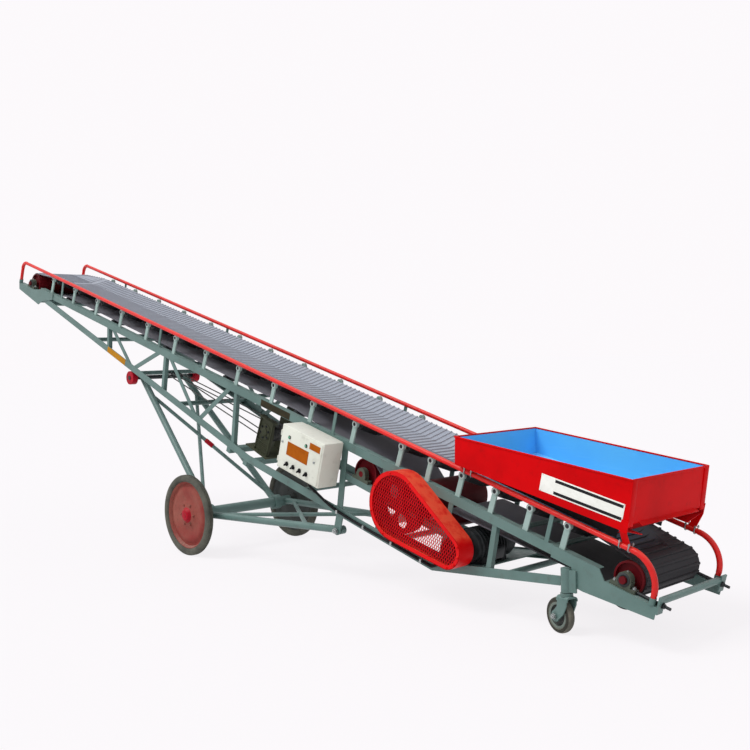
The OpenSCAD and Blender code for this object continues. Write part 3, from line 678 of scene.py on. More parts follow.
class Shape:
    """A piece in the making: bmesh operators add its solids, in metres."""

    def __init__(self) -> None:
        """Starts with nothing."""
        self.bm = bmesh.new()

    def take(self, part: bmesh.types.BMesh, matrix: Matrix | None = None, material: int = 0) -> None:
        """Adds a finished solid.

        Args:
            part: the solid, which is used up.
            matrix: where it goes.
            material: number of its finish.
        """
        if matrix is not None:
            bmesh.ops.transform(part, matrix=matrix, verts=part.verts)
        bmesh.ops.recalc_face_normals(part, faces=part.faces)
        for face in part.faces:
            face.material_index = material
            face.smooth = True
        mesh = bpy.data.meshes.new("part")
        part.to_mesh(mesh)
        part.free()
        self.bm.from_mesh(mesh)
        bpy.data.meshes.remove(mesh)

    @staticmethod
    def soften(part: bmesh.types.BMesh, edges: Iterable[bmesh.types.BMEdge], bevel: float,
               segments: int = 2) -> None:
        """Rounds edges of a solid.

        Args:
            part: the solid.
            edges: the edges to round.
            bevel: radius in millimetres.
            segments: steps of the rounding.
        """
        bmesh.ops.bevel(part, geom=edges, offset=bevel * MM, offset_type="OFFSET", affect="EDGES",
                        segments=segments, profile=0.5, material=-1, clamp_overlap=True)

    def block(self, low: Sequence[float], high: Sequence[float], matrix: Matrix | None = None,
              bevel: float = 0.0, material: int = 0, segments: int = 2) -> None:
        """Adds a block with rounded edges.

        Args:
            low: lowest corner in millimetres.
            high: highest corner in millimetres.
            matrix: frame of the corners.
            bevel: edge radius in millimetres.
            material: number of its finish.
            segments: steps of the rounding.
        """
        part = bmesh.new()
        size = [(b - a) * MM for a, b in zip(low, high)]
        middle = [(a + b) / 2 * MM for a, b in zip(low, high)]
        bmesh.ops.create_cube(part, size=1.0,
                              matrix=Matrix.Translation(middle) @ Matrix.Diagonal((*size, 1.0)))
        if bevel > 0:
            self.soften(part, part.edges, bevel, segments)
        self.take(part, matrix, material)

    def rod(self, a: Vector, b: Vector, d: float, material: int = 0, steps: int = 20, bevel: float = 0.0,
            d2: float | None = None) -> None:
        """Adds a round bar between two points of the row frame.

        Args:
            a: first end in metres.
            b: second end in metres.
            d: diameter in millimetres.
            material: number of its finish.
            steps: faces round it.
            bevel: rounding of its ends in millimetres.
            d2: diameter at the second end, if it tapers.
        """
        part = bmesh.new()
        run = b - a
        bmesh.ops.create_cone(part, cap_ends=True, cap_tris=False, segments=steps, radius1=d / 2 * MM,
                              radius2=(d if d2 is None else d2) / 2 * MM, depth=run.length)
        if bevel > 0:
            rims = [e for e in part.edges if abs(e.verts[0].co.z - e.verts[1].co.z) < TINY]
            self.soften(part, rims, bevel)
        turn = run.to_track_quat("Z", "Y").to_matrix().to_4x4()
        self.take(part, Matrix.Translation((a + b) / 2) @ turn, material)

    def lathe(self, profile: Sequence[Flat], matrix: Matrix, steps: int = 48, material: int = 0,
              closed: bool = True) -> None:
        """Spins a profile of (radius, place along the axis) in millimetres about the local Z axis.

        Args:
            profile: its points in order.
            matrix: frame of the axis.
            steps: faces round it.
            material: number of its finish.
            closed: joins the last point to the first.
        """
        part = bmesh.new()
        line = [part.verts.new((r * MM, 0.0, z * MM)) for r, z in profile]
        ends = line[1:] + (line[:1] if closed else [])
        edges = [part.edges.new(pair) for pair in zip(line, ends)]
        bmesh.ops.spin(part, geom=line + edges, cent=(0, 0, 0), axis=(0, 0, 1), dvec=(0, 0, 0),
                       angle=math.tau, steps=steps, use_merge=True, use_duplicate=False)
        bmesh.ops.remove_doubles(part, verts=part.verts, dist=TINY)
        self.take(part, matrix, material)

    def band(self, outer: Sequence[Flat], inner: Sequence[Flat], depth: float, matrix: Matrix,
             material: int = 0) -> None:
        """Adds a ring between two outlines of as many points, in millimetres.

        Args:
            outer: the outer outline.
            inner: the inner outline.
            depth: depth along the local Z axis.
            matrix: frame of the outlines.
            material: number of its finish.
        """
        part = bmesh.new()
        loops = [[part.verts.new((x * MM, y * MM, z * MM)) for x, y in line]
                 for line, z in ((outer, 0.0), (outer, depth), (inner, depth), (inner, 0.0))]
        for a, b in zip(loops, loops[1:] + loops[:1]):
            for i in range(len(a)):
                part.faces.new((a[i - 1], a[i], b[i], b[i - 1]))
        self.take(part, matrix, material)

    def ball(self, at: Vector, d: float, material: int = 0) -> None:
        """Adds a ball of a diameter in millimetres."""
        part = bmesh.new()
        bmesh.ops.create_icosphere(part, subdivisions=2, radius=d / 2 * MM)
        self.take(part, Matrix.Translation(at), material)

    def bolt(self, at: Vector, axis: Vector, d: float, material: int = 0, washer: bool = True) -> None:
        """Adds a hexagon head on a washer.

        Args:
            at: point on the face that it clamps, in metres.
            axis: direction out of the face.
            d: thread diameter in millimetres.
            material: number of its finish.
            washer: adds the washer.
        """
        size = HEXAGON
        out = axis.normalized()
        lift = d * size.washer_t * MM if washer else 0.0
        if washer:
            self.rod(at - out * size.sunk, at + out * lift, d * size.washer_d, material, 16)
        top = at + out * (lift + d * size.head_t * MM)
        self.rod(at + out * lift, top, d * size.head_d, material, 6, d * size.head_bevel)
        start, end = (at + out * (lift + d * share * MM) for share in size.thread)
        self.rod(start, end, d * size.thread_d, material, 10, d * size.thread_bevel)

    def tube(self, points: Sequence[Vector], d: float, material: int = 0, steps: int = 10) -> None:
        """Sweeps a round section along a path by extruding and turning its end.

        Args:
            points: the path in metres.
            d: diameter in millimetres.
            material: number of its finish.
            steps: faces round it.
        """
        part = bmesh.new()
        first = (points[1] - points[0]).normalized()
        turn = first.to_track_quat("Z", "Y")
        ring = bmesh.ops.create_circle(part, cap_ends=False, segments=steps, radius=d / 2 * MM,
                                       matrix=Matrix.Translation(points[0]) @ turn.to_matrix().to_4x4())
        edges = list({e for v in ring["verts"] for e in v.link_edges})
        start = edges
        heading = first
        for i in range(1, len(points)):
            after = (points[min(i + 1, len(points) - 1)] - points[i - 1]).normalized()
            out = bmesh.ops.extrude_edge_only(part, edges=edges)
            verts = [v for v in out["geom"] if isinstance(v, bmesh.types.BMVert)]
            edges = [e for e in out["geom"] if isinstance(e, bmesh.types.BMEdge)
                     and all(v in verts for v in e.verts)]
            bmesh.ops.translate(part, vec=points[i] - points[i - 1], verts=verts)
            swing = heading.rotation_difference(after).to_matrix()
            bmesh.ops.rotate(part, cent=points[i], matrix=swing, verts=verts)
            heading = after
        for rim in (start, edges):
            bmesh.ops.contextual_create(part, geom=rim)
        self.take(part, None, material)

    def repeat(self, other: "Shape", matrices: Iterable[Matrix]) -> None:
        """Adds copies of another shape.

        Args:
            other: the shape, drawn round the origin.
            matrices: where the copies go.
        """
        mesh = bpy.data.meshes.new("copy")
        other.bm.to_mesh(mesh)
        for matrix in matrices:
            mesh.transform(matrix)
            self.bm.from_mesh(mesh)
            mesh.transform(matrix.inverted())
        bpy.data.meshes.remove(mesh)

    def finish(self, name: str, body: str, slot: str, *coats: Coat, sharp: float = 38.0,
               instead: Sequence[str] = ()) -> bpy.types.Object:
        """Makes the object, dresses it and lets it ride on a body.

        Args:
            name: name of the piece.
            body: CAD body that carries it.
            slot: material slot of the record; not used.
            coats: its finishes, in the order of their numbers.
            sharp: angle in degrees past which an edge stays sharp.
            instead: CAD nodes that it stands for.

        Returns:
            The object.
        """
        mesh = bpy.data.meshes.new(name)
        self.bm.to_mesh(mesh)
        self.bm.free()
        mesh.set_sharp_from_angle(angle=math.radians(sharp))
        for coat in coats:
            mesh.materials.append(coat.material)
        made = bpy.data.objects.new(name, mesh)
        bpy.context.scene.collection.objects.link(made)
        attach(made, body)
        if instead:
            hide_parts(*instead)
        LOG.info("%s: %d faces on %s", name, len(mesh.polygons), body)
        return made


def facing(at: Vector, axis: Vector) -> Matrix:
    """Frame whose Z axis points along axis.

    Args:
        at: its origin in metres.
        axis: direction of its Z axis.

    Returns:
        The frame.
    """
    return Matrix.Translation(at) @ axis.to_track_quat("Z", "Y").to_matrix().to_4x4()


def frame_at(at: Vector, x: Vector, y: Vector) -> Matrix:
    """Frame with given X and Y axes.

    Args:
        at: its origin in metres.
        x: its X axis.
        y: its Y axis.

    Returns:
        The frame.
    """
    return Matrix.Translation(at) @ Matrix((x, y, x.cross(y))).transposed().to_4x4()


def smooth_path(points: Sequence[Vector], steps: int) -> list[Vector]:
    """Curve through points.

    Args:
        points: the points.
        steps: steps between two of them.

    Returns:
        The points of the curve.
    """
    ends = [points[0], *points, points[-1]]
    line = []
    for a, b, c, d in zip(ends, ends[1:], ends[2:], ends[3:]):
        for i in range(steps):
            u = i / steps
            line.append(0.5 * (2 * b + (c - a) * u + (2 * a - 5 * b + 4 * c - d) * u ** 2
                               + (3 * b - a - 3 * c + d) * u ** 3))
    return [*line, points[-1]]


def shifted(profile: Sequence[Flat], r: float, z: float) -> list[Flat]:
    """Moves a lathe profile.

    Args:
        profile: (radius, place along the axis).
        r: what is added to the radius.
        z: what is added along the axis.

    Returns:
        The moved points.
    """
    return [(r + q, z + v) for q, v in profile]


def mirrored(profile: Sequence[Flat]) -> list[Flat]:
    """Closes a lathe profile with its own image past the middle plane.

    Args:
        profile: (radius, place along the axis) on one side.

    Returns:
        The points of both sides in order.
    """
    return [*profile, *((r, -z) for r, z in reversed(profile))]


def circle(count: int, radius: float) -> list[Flat]:
    """Points spaced evenly on a circle.

    Args:
        count: how many.
        radius: radius of the circle.

    Returns:
        The points.
    """
    angles = [math.tau * k / count for k in range(count)]
    return [(radius * math.cos(a), radius * math.sin(a)) for a in angles]


COATED: dict[Coat, tuple[str, ...]] = {
    Coat.POST: ("idler_posts",),
    Coat.DARK: ("idler_shafts", "trough_rollers", "return_rollers", "take_up_screws", "drive_motor",
                "trolley_shaft"),
    Coat.RAIL: ("guard_rail_near", "guard_rail_far"),
    Coat.BELT: ("belt_carry", "belt_ends"),
    Coat.BELT_SHADED: ("belt_return",),
    Coat.DRUM: ("head_pulley", "tail_pulley", "drive_drum", "bend_drums", "drive_sheaves"),
    Coat.BEARING: ("bearing_blocks",),
    Coat.HOPPER: ("hopper_legs", "hopper_near", "hopper_far", "hopper_head", "hopper_tail"),
    Coat.BLACK: ("hopper_skirts", "v_belts"),
    Coat.ORANGE: ("control_labels",),
    Coat.WINCH: ("winch",),
    Coat.HUB: ("trolley_rollers",),
}
NODE_COATS = {node: coat for coat, nodes in COATED.items() for node in nodes}
LINED = {"hopper_near": FAR, "hopper_far": NEAR,
         "hopper_head": Vector((1, 0, 0)), "hopper_tail": Vector((-1, 0, 0))}
LINED_UP = 0.9
LINED_LEAN = 0.3


def dress_frame(nodes: dict[str, bpy.types.Object]) -> None:
    """Gives every CAD node its finish; the hopper sheets get a blue inner side.

    Args:
        nodes: the CAD objects by name.
    """
    for name, node in nodes.items():
        node.data.materials.clear()
        node.data.materials.append(NODE_COATS.get(name, Coat.FRAME).material)
        inward = LINED.get(name)
        if inward:
            node.data.materials.append(Coat.LINING.material)
            for face in node.data.polygons:
                lean = face.normal.dot(inward + BOOM.up * LINED_UP)
                face.material_index = 1 if lean > LINED_LEAN else 0


@dataclass(frozen=True)
class Loop:
    """Outline round two wheels, in millimetres along the boom."""

    big: Flat
    big_r: float
    small: Flat
    small_r: float

    def points(self, grow: float, steps: int = 26) -> list[Flat]:
        """Outline that stands off by grow, counterclockwise.

        Args:
            grow: how far it is moved out.
            steps: steps of each round end.

        Returns:
            Its points.
        """
        run = Vector(self.small) - Vector(self.big)
        aim = math.atan2(run.y, run.x)
        half = math.acos((self.big_r - self.small_r) / run.length)
        arcs = ((self.big, self.big_r, aim + half, math.tau - 2 * half),
                (self.small, self.small_r, aim - half, 2 * half))
        line = []
        for centre, radius, start, sweep in arcs:
            for i in range(steps + 1):
                angle = start + sweep * i / steps
                line.append((centre[0] + (radius + grow) * math.cos(angle),
                             centre[1] + (radius + grow) * math.sin(angle)))
        return line


def within(point: Flat, line: Sequence[Flat]) -> bool:
    """Tells whether a point lies inside a round outline.

    Args:
        point: the point.
        line: the outline, counterclockwise and nowhere hollow.

    Returns:
        True inside.
    """
    x, y = point
    pairs = zip(line, [*line[1:], line[0]])
    return all((b[0] - a[0]) * (y - a[1]) >= (b[1] - a[1]) * (x - a[0]) for a, b in pairs)


@dataclass
class BeltGuard:
    """Guard over the V belts: a red rim with an expanded metal face and painted bolts."""

    loop: Loop = Loop((5672.0, -217.0), 245.0, (6197.1, -322.7), 122.0)
    near: float = -516.0
    back: float = -376.0
    sheet: float = 4.0
    lip: float = 30.0
    lip_inset: float = 1.0
    tuck: float = 6.0
    cell: Flat = (21.0, 42.0)
    strand: float = 4.2
    strand_t: float = 3.0
    mesh_back: float = 9.0
    bolt_d: float = 8.0
    bolt_step: int = 6

    def mesh(self, shape: Shape) -> None:
        """Adds the expanded metal as crossing strands.

        Args:
            shape: the piece in the making.
        """
        line = self.loop.points(self.tuck - self.lip)
        face = BOOM.face(self.near + self.mesh_back)
        wide, high = self.cell
        reach = math.hypot(wide, high) / 4
        bar = Shape()
        bar.block((-reach, -self.strand / 2, 0), (reach, self.strand / 2, self.strand_t), material=1)
        columns, rows = (range(math.floor(min(c) / k), math.ceil(max(c) / k))
                         for c, k in zip(zip(*line), self.cell))
        matrices = []
        for i, j, shift, side in product(columns, rows, (0.0, 0.5), (1, -1)):
            x = (i + shift + 0.25) * wide
            y = (j + shift + 0.25 * side) * high
            if within((x, y), line):
                turn = Matrix.Rotation(math.atan2(side * high, wide), 4, "Z")
                matrices.append(face @ Matrix.Translation((x * MM, y * MM, 0)) @ turn)
        shape.repeat(bar, matrices)

    def build(self) -> None:
        """Makes the guard."""
        shape = Shape()
        points = self.loop.points
        shape.band(points(0), points(-self.sheet), self.back - self.near, BOOM.face(self.back))
        lip = BOOM.face(self.near + self.sheet)
        shape.band(points(-self.lip_inset), points(-self.lip), self.sheet, lip)
        self.mesh(shape)
        face = BOOM.face(self.near)
        for x, y in points(-self.lip / 2)[::self.bolt_step]:
            shape.bolt(face @ Vector((x * MM, y * MM, 0)), NEAR, self.bolt_d)
        shape.finish("guard_with_mesh", "boom", "guard_paint", Coat.GUARD, Coat.MESH,
                     instead=["belt_guard"])


@dataclass
class ControlBox:
    """Switch cabinet on the near chord: folded enclosure, door, rotary switches and lamps."""

    corner: Point = (4460.0, -591.0, -353.0)
    size: Point = (500.0, 190.0, 345.0)
    bracket_gap: float = 25.0
    bracket_in: float = 40.0
    bracket_drop: Flat = (50.0, 10.0)
    door_edge: float = 14.0
    door_t: float = 6.0
    seam: float = 5.0
    hinge_z: Flat = (0.2, 0.8)
    hinge_place: Flat = (7.0, -4.0)
    hinge_half: float = 22.0
    hinge_d: float = 11.0
    glands: tuple[float, ...] = (0.3, 0.45, 0.6)
    gland: Outline = ((0, 0), (17, 0), (17, 9), (13, 12), (13, 26), (0, 26))
    knobs: tuple[float, ...] = (0.25, 0.405, 0.56, 0.715)
    knob_z: float = 0.18
    knob_turn: float = -28.0
    knob_base: Outline = ((0, 0), (18, 0), (18, 4), (15, 8), (0, 8))
    knob_grip: Box = ((-5.0, -17.0, 7.0), (5.0, 17.0, 26.0))
    knob_line: Box = ((-1.2, 5.0, 25.6), (1.2, 15.0, 26.4))
    lamps: Outline = ((0.22, 0.78), (0.62, 0.78))
    bezel: Outline = ((0, 0), (14, 0), (14, 4), (11, 5), (0, 5))
    lens: Outline = ((10, 4), (10, 9), (7, 12), (0, 13))
    locks: Outline = ((0.07, 0.62), (0.85, 0.52))
    barrel: Outline = ((0, 0), (10, 0), (10, 5), (8, 7), (0, 7))
    keyhole: Box = ((-1.2, -6.0, 6.0), (1.2, 6.0, 7.6))
    conduit_d: float = 21.0
    route: tuple[Point, ...] = (
        (4760, -496, -375), (4768, -495, -413), (4800, -430, -473), (4870, -394, -518), (4980, -388, -538),
        (5200, -388, -545), (5600, -388, -545), (5950, -388, -545), (6010, -388, -535), (6060, -380, -495),
        (6090, -345, -462), (6130, -300, -430), (6160, -260, -405))
    clips: tuple[float, ...] = (5000.0, 5300.0, 5600.0, 5900.0)
    clip_half: float = 9.0
    clip_y: Flat = (-401.0, -376.0)
    clip_h: Flat = (-560.0, -531.0)

    @property
    def frame(self) -> Matrix:
        """Frame at the lowest near corner, with X along the boom and Y into the box."""
        return BOOM.matrix @ Matrix.Translation(Vector(self.corner) * MM)

    def door_place(self, x: float, z: float) -> Matrix:
        """Frame on the door whose Z axis points out of it.

        Args:
            x: share of the width.
            z: share of the height.

        Returns:
            The frame.
        """
        spot = Vector((x * self.size[0], -self.door_t, z * self.size[2])) * MM
        return self.frame @ Matrix.Translation(spot) @ Matrix.Rotation(math.pi / 2, 4, "X")

    def enclosure(self) -> None:
        """Makes the folded box, its bracket, door, hinges and glands."""
        shape = Shape()
        frame = self.frame
        wide, deep, high = self.size
        shape.block((0, 0, 0), (wide, deep, high), frame, 8, 0, 3)
        inset, (z0, z1) = self.bracket_in, (high - drop for drop in self.bracket_drop)
        shape.block((inset, deep - 1, z0), (wide - inset, deep + self.bracket_gap, z1), frame, 2)
        edge = self.door_edge - self.seam
        shape.block((edge, -2, edge), (wide - edge, 1, high - edge), frame)
        edge = self.door_edge
        shape.block((edge, -self.door_t, edge), (wide - edge, 0, high - edge), frame, 3, 0, 3)
        for z in self.hinge_z:
            ends = (z * high - self.hinge_half, z * high + self.hinge_half)
            low, top = (frame @ (Vector((*self.hinge_place, end)) * MM) for end in ends)
            shape.rod(low, top, self.hinge_d, 0, 16, 2)
        down = Matrix.Rotation(math.pi, 4, "X")
        for x in self.glands:
            at = Matrix.Translation(Vector((x * wide, deep * 0.5, 0)) * MM)
            shape.lathe(self.gland, frame @ at @ down, 12, 1, False)
        shape.finish("switch_cabinet", "boom", "box_paint", Coat.BOX, Coat.BLACK, instead=["control_box"])

    def controls(self) -> None:
        """Makes the rotary switches, lamps and locks on the door."""
        shape = Shape()
        for x in self.knobs:
            at = self.door_place(x, self.knob_z)
            shape.lathe(self.knob_base, at, 28, 0, False)
            turned = at @ Matrix.Rotation(math.radians(self.knob_turn), 4, "Z")
            shape.block(*self.knob_grip, turned, 3, 0)
            shape.block(*self.knob_line, turned, 0, 1)
        for x, z in self.lamps:
            at = self.door_place(x, z)
            shape.lathe(self.bezel, at, 28, 0, False)
            shape.lathe(self.lens, at, 28, 2, False)
        for x, z in self.locks:
            at = self.door_place(x, z)
            shape.lathe(self.barrel, at, 24, 3, False)
            # The keyhole is a black slot on the barrel: painted shade of the hole.
            shape.block(*self.keyhole, at, 0, 0)
        shape.finish("door_switches", "boom", "black_plastic", Coat.BLACK, Coat.WHITE, Coat.GREEN,
                     Coat.BRIGHT, instead=["control_switches"])

    def conduit(self) -> None:
        """Makes the conduit that is clipped along the lower chord to the motor."""
        shape = Shape()
        shape.tube(smooth_path([BOOM.at(*p) for p in self.route], 4), self.conduit_d, 0, 12)
        (y0, y1), (h0, h1) = self.clip_y, self.clip_h
        for s in self.clips:
            shape.block((s - self.clip_half, y0, h0), (s + self.clip_half, y1, h1), BOOM.matrix, 3, 1)
        shape.finish("motor_conduit", "boom", "black_plastic", Coat.BLACK, Coat.BRIGHT)

    def build(self) -> None:
        """Makes the cabinet and its parts."""
        self.enclosure()
        self.controls()
        self.conduit()


@dataclass
class HopperTrim:
    """Rolled rim, corner flanges, blank plate and rail clamps of the hopper."""

    half: float = 433.0
    wall: float = 3.0
    head: Flat = (6016.0, 405.0)
    tail: Flat = (7340.0, 597.0)
    tail_foot: Flat = (7375.0, 340.0)
    fold: Flat = (6061.0, 232.0)
    rise: float = 2.94
    rim_d: float = 13.0
    flange: float = 52.0
    flange_t: float = 6.0
    flange_drop: float = 18.0
    flange_gap: float = 4.0
    plate_x: Flat = (690.0, 1282.0)
    plate_n: Flat = (42.0, 149.0)
    plate_t: float = 2.0
    band_x: float = 795.0
    band_n: Flat = (8.0, 26.0)
    band_y: Flat = (-0.6, 0.5)
    rivet_x: Flat = (10.0, 4.0)
    rivet_n: float = 4.0
    rivet_d: float = 6.0
    rail: Flat = (373.0, 191.0)
    clamp_s: tuple[float, ...] = (6116.0, 6176.0, 7330.0, 7394.0)
    clamp_r: float = 21.0
    clamp_d: float = 8.0
    clamp_top: float = 34.0
    clamp_nut: float = 22.0

    @property
    def fold_frame(self) -> Matrix:
        """Frame along the fold of the side walls."""
        return (BOOM.matrix @ Matrix.Translation((self.fold[0] * MM, 0, self.fold[1] * MM))
                @ Matrix.Rotation(-math.radians(self.rise), 4, "Y"))

    @property
    def tail_frame(self) -> Matrix:
        """Frame on the outer face of the tail wall: X to the far side, Y up the wall, Z out of it."""
        foot, top = (Vector((s, 0, h)) for s, h in (self.tail_foot, self.tail))
        return BOOM.matrix @ frame_at(foot * MM, FAR, (top - foot).normalized())

    def rim(self) -> None:
        """Makes the rolled rim and the flanges of the tail corners."""
        shape = Shape()
        drop = self.rim_d / 2 - self.wall
        places = ((self.head, -1), (self.tail, -1), (self.tail, 1), (self.head, 1))
        corners = [BOOM.at(s, side * self.half, h - drop) for (s, h), side in places]
        for a, b in zip(corners, corners[1:] + corners[:1]):
            shape.rod(a, b, self.rim_d, 0, 14)
        for corner in corners:
            shape.ball(corner, self.rim_d, 0)
        tall = (Vector(self.tail) - Vector(self.tail_foot)).length
        for side in SIDES:
            x0, x1 = sorted((side * (self.half + 1), side * (self.half - self.flange)))
            shape.block((x0, -self.flange_drop, 0), (x1, tall - self.flange_gap, self.flange_t),
                        self.tail_frame, 1.5)
        shape.finish("hopper_rim", "boom", "hopper_paint", Coat.HOPPER)

    def plate(self) -> None:
        """Makes the blank plate on the near wall, with a dark band along its top and bottom."""
        shape = Shape()
        frame = self.fold_frame
        (x0, x1), (n0, n1), (b0, b1) = self.plate_x, self.plate_n, self.band_n
        out = -self.half
        face = out - self.plate_t
        shape.block((x0, face, n0), (x1, out, n1), frame, 0.6)
        front, back = (face + y for y in self.band_y)
        for low, high in ((n0 + b0, n0 + b1), (n1 - b1, n1 - b0)):
            shape.block((self.band_x, front, low), (x1 - b0, back, high), frame, 0, 1)
        (a, b), c = self.rivet_x, self.rivet_n
        for x, n in product((x0 + a, x1 - b), (n0 + c, n1 - c)):
            shape.ball(frame @ (Vector((x, face, n)) * MM), self.rivet_d, 2)
        shape.finish("hopper_plate", "boom", "hopper_paint", Coat.WHITE, Coat.BLACK, Coat.BRIGHT)

    def clamps(self) -> None:
        """Makes the U bolts that hold the hopper legs on the hand rails."""
        shape = Shape()
        y, h = self.rail
        r, top = self.clamp_r, self.clamp_top
        angles = [math.pi * k / 10 for k in range(10, 21)]
        line = [(-r, top), *((r * math.cos(a), r * math.sin(a)) for a in angles), (r, top)]
        for side, s in product(SIDES, self.clamp_s):
            shape.tube([BOOM.at(s, side * y + v, h + n) for v, n in line], self.clamp_d, 0, 8)
            for v in (-r, r):
                shape.bolt(BOOM.at(s, side * y + v, h + self.clamp_nut), BOOM.up, self.clamp_d, 0)
        shape.finish("rail_clamps", "boom", "bright_steel", Coat.BRIGHT)

    def build(self) -> None:
        """Makes the trim."""
        self.rim()
        self.plate()
        self.clamps()


@dataclass
class RoadWheel:
    """Main wheel: rounded tyre, pressed disc, hub cap and nuts.

    Profiles are (radius, place outward). The wall and the groove are counted from the tread, and both lips
    from the rim's edge.
    """

    name: str
    side: int
    track: float = 580.0
    axle: Flat = AXLE
    radius: float = 347.5
    width: float = 66.0
    wall: Outline = ((-60, -16), (-52, -4), (-40, 0), (-18, -1.5), (-7, -7), (-1.5, -14), (0, -20))
    groove: Outline = ((0, 9), (-3, 8), (-3, 5), (0, 4))
    rim_in: Flat = (58.0, 18.0)
    lip: Outline = ((-22, -25), (-12, -6), (-6, 0), (0, 0))
    back_lip: Outline = ((0, 0), (-14, 0), (-33.5, 0))
    pressing: Outline = ((60, 16), (96, 8), (118, -4), (150, -6), (196, 5), (222, 7), (240, -2), (256, -10))
    pressing_back: Outline = ((240, -7), (222, 1), (196, -1), (150, -12), (118, -10), (60, 4))
    hub: Outline = ((20.1, 40), (42, 40), (48, 36), (53, 24), (70, 12))
    sleeve: Outline = ((60, 2), (52, -18), (50, -50), (20.1, -50))
    cap: Outline = ((20.1, 39), (20.1, 42.2), (16, 42.6), (0, 42.8))
    nuts: int = 6
    nut_r: float = 92.0
    nut_z: float = 8.5
    nut_d: float = 11.0

    @property
    def frame(self) -> Matrix:
        """Frame in the middle of the wheel, with Z pointing outward."""
        x, z = self.axle
        return facing(Vector((x, self.side * self.track, z)) * MM, Vector((0, self.side, 0)))

    def tyre(self) -> None:
        """Makes the tyre with two grooves."""
        shape = Shape()
        side = shifted(self.wall, self.radius, self.width / 2) + shifted(self.groove, self.radius, 0)
        shape.lathe(mirrored(side), self.frame, 96)
        shape.finish(f"{self.name}_round_tyre", self.name, "tyre_rubber", Coat.TYRE, sharp=50,
                     instead=[f"{self.name}_tyre"])

    def disc(self) -> None:
        """Makes the pressed disc, its inner side dark grey as painted shade, and the red hub."""
        shape = Shape()
        frame = self.frame
        rim = self.radius - self.rim_in[0]
        half = self.width / 2 - self.rim_in[1]
        back = [(rim, half), *shifted(self.back_lip, rim, -half), *self.pressing_back]
        shape.lathe([*self.pressing, *shifted(self.lip, rim, half)], frame, 72, 0, False)
        # The inner side and the sleeve are dark grey: painted shade under the machine.
        shape.lathe(back, frame, 72, 1, False)
        shape.lathe(self.hub, frame, 40, 2, False)
        shape.lathe(self.sleeve, frame, 40, 1, False)
        shape.lathe(self.cap, frame, 24, 2, False)
        for x, y in circle(self.nuts, self.nut_r):
            at = frame @ (Vector((x, y, self.nut_z)) * MM)
            shape.bolt(at, Vector((0, self.side, 0)), self.nut_d, 0)
        shape.finish(f"{self.name}_pressed_disc", self.name, "wheel_paint", Coat.WHEEL, Coat.WHEEL_SHADE,
                     Coat.HUB, instead=[f"{self.name}_disc"])

    def build(self) -> None:
        """Makes the wheel."""
        self.tyre()
        self.disc()


@dataclass
class Caster:
    """Tail caster: rubber tyre with dark shoulders on a dished rim, the dish dark grey as painted shade,
    and its axle nuts.

    Profiles are (radius, place along the axis) from the wheel's face; wall and shoulder start at the tread.
    """

    name: str
    centre: Vector
    axis: Vector
    radius: float = 110.0
    width: float = 56.0
    wall: Outline = ((-30, -6), (-26, -1), (-16, 0), (-7, -5), (-2, -12), (0, -20))
    dish: Outline = ((12.1, 0), (30, 0), (33, -8), (38, -19), (60, -19), (66, -5), (80, -5))
    rim: Outline = ((64, -5), (67, -2.5), (78, -2.5), (83, -6))
    shoulder: Outline = ((-26, -0.5), (-16, 0.6), (-6.5, -4.4), (-12, -8))
    fork: float = 52.0
    nut_d: float = 17.0

    def wheel(self) -> None:
        """Makes the wheel."""
        shape = Shape()
        frame = facing(self.centre, self.axis)
        half = self.width / 2
        rim, shoulder = shifted(self.rim, 0, half), shifted(self.shoulder, self.radius, half)
        shape.lathe(mirrored(shifted(self.wall, self.radius, half)), frame, 64)
        # The recessed dish is dark grey: painted shade in the recess.
        shape.lathe(mirrored(shifted(self.dish, 0, half)), frame, 48, 1)
        for side in SIDES:
            shape.lathe([(r, side * z) for r, z in rim], frame, 48, 2)
            shape.lathe([(r, side * z) for r, z in shoulder], frame, 64, 3)
        shape.finish(f"{self.name}_rubber_wheel", f"{self.name}_wheel", "tyre_rubber", Coat.CASTER,
                     Coat.WHEEL_SHADE, Coat.RIM, Coat.SHOULDER, sharp=50, instead=[f"{self.name}_wheel"])

    def nuts(self) -> None:
        """Makes the axle nuts on the fork."""
        shape = Shape()
        for side in SIDES:
            shape.bolt(self.centre + self.axis * (side * self.fork * MM), self.axis * side, self.nut_d, 0)
        shape.finish(f"{self.name}_nuts", self.name, "bright_steel", Coat.BRIGHT)

    def build(self) -> None:
        """Makes the caster's parts."""
        self.wheel()
        self.nuts()


@dataclass
class Idlers:
    """Sockets and nuts on the bearing eyes of the idler posts, which stand closer under the hopper."""

    pitch: float = 500.0
    count: int = 12
    load_pitch: float = 291.0
    load_count: int = 5
    eye: Flat = (366.0, 147.2)
    socket: Outline = ((15, 0), (21, 0), (21, 2), (19, 3.5), (15, 3.5))
    bore: Outline = ((0, 1), (15, 1), (15, 0.4), (0, 0.4))
    nut_out: float = 1.0
    nut_d: float = 9.0

    def build(self) -> None:
        """Makes the sockets and nuts."""
        shape = Shape()
        y, h = self.eye
        load = self.pitch * (self.count - 1)
        places = [self.pitch * i for i in range(self.count)]
        places += [load + self.load_pitch * i for i in range(1, self.load_count + 1)]
        for s, side in product(places, SIDES):
            at = BOOM.at(s, side * y, h)
            out = Vector((0, side, 0))
            shape.lathe(self.socket, facing(at, out), 24)
            shape.lathe(self.bore, facing(at, out), 20, 1, False)
            shape.bolt(at + out * (self.nut_out * MM), out, self.nut_d, 1, False)
        shape.finish("idler_nuts", "boom", "bright_steel", Coat.SOCKET, Coat.DARK)


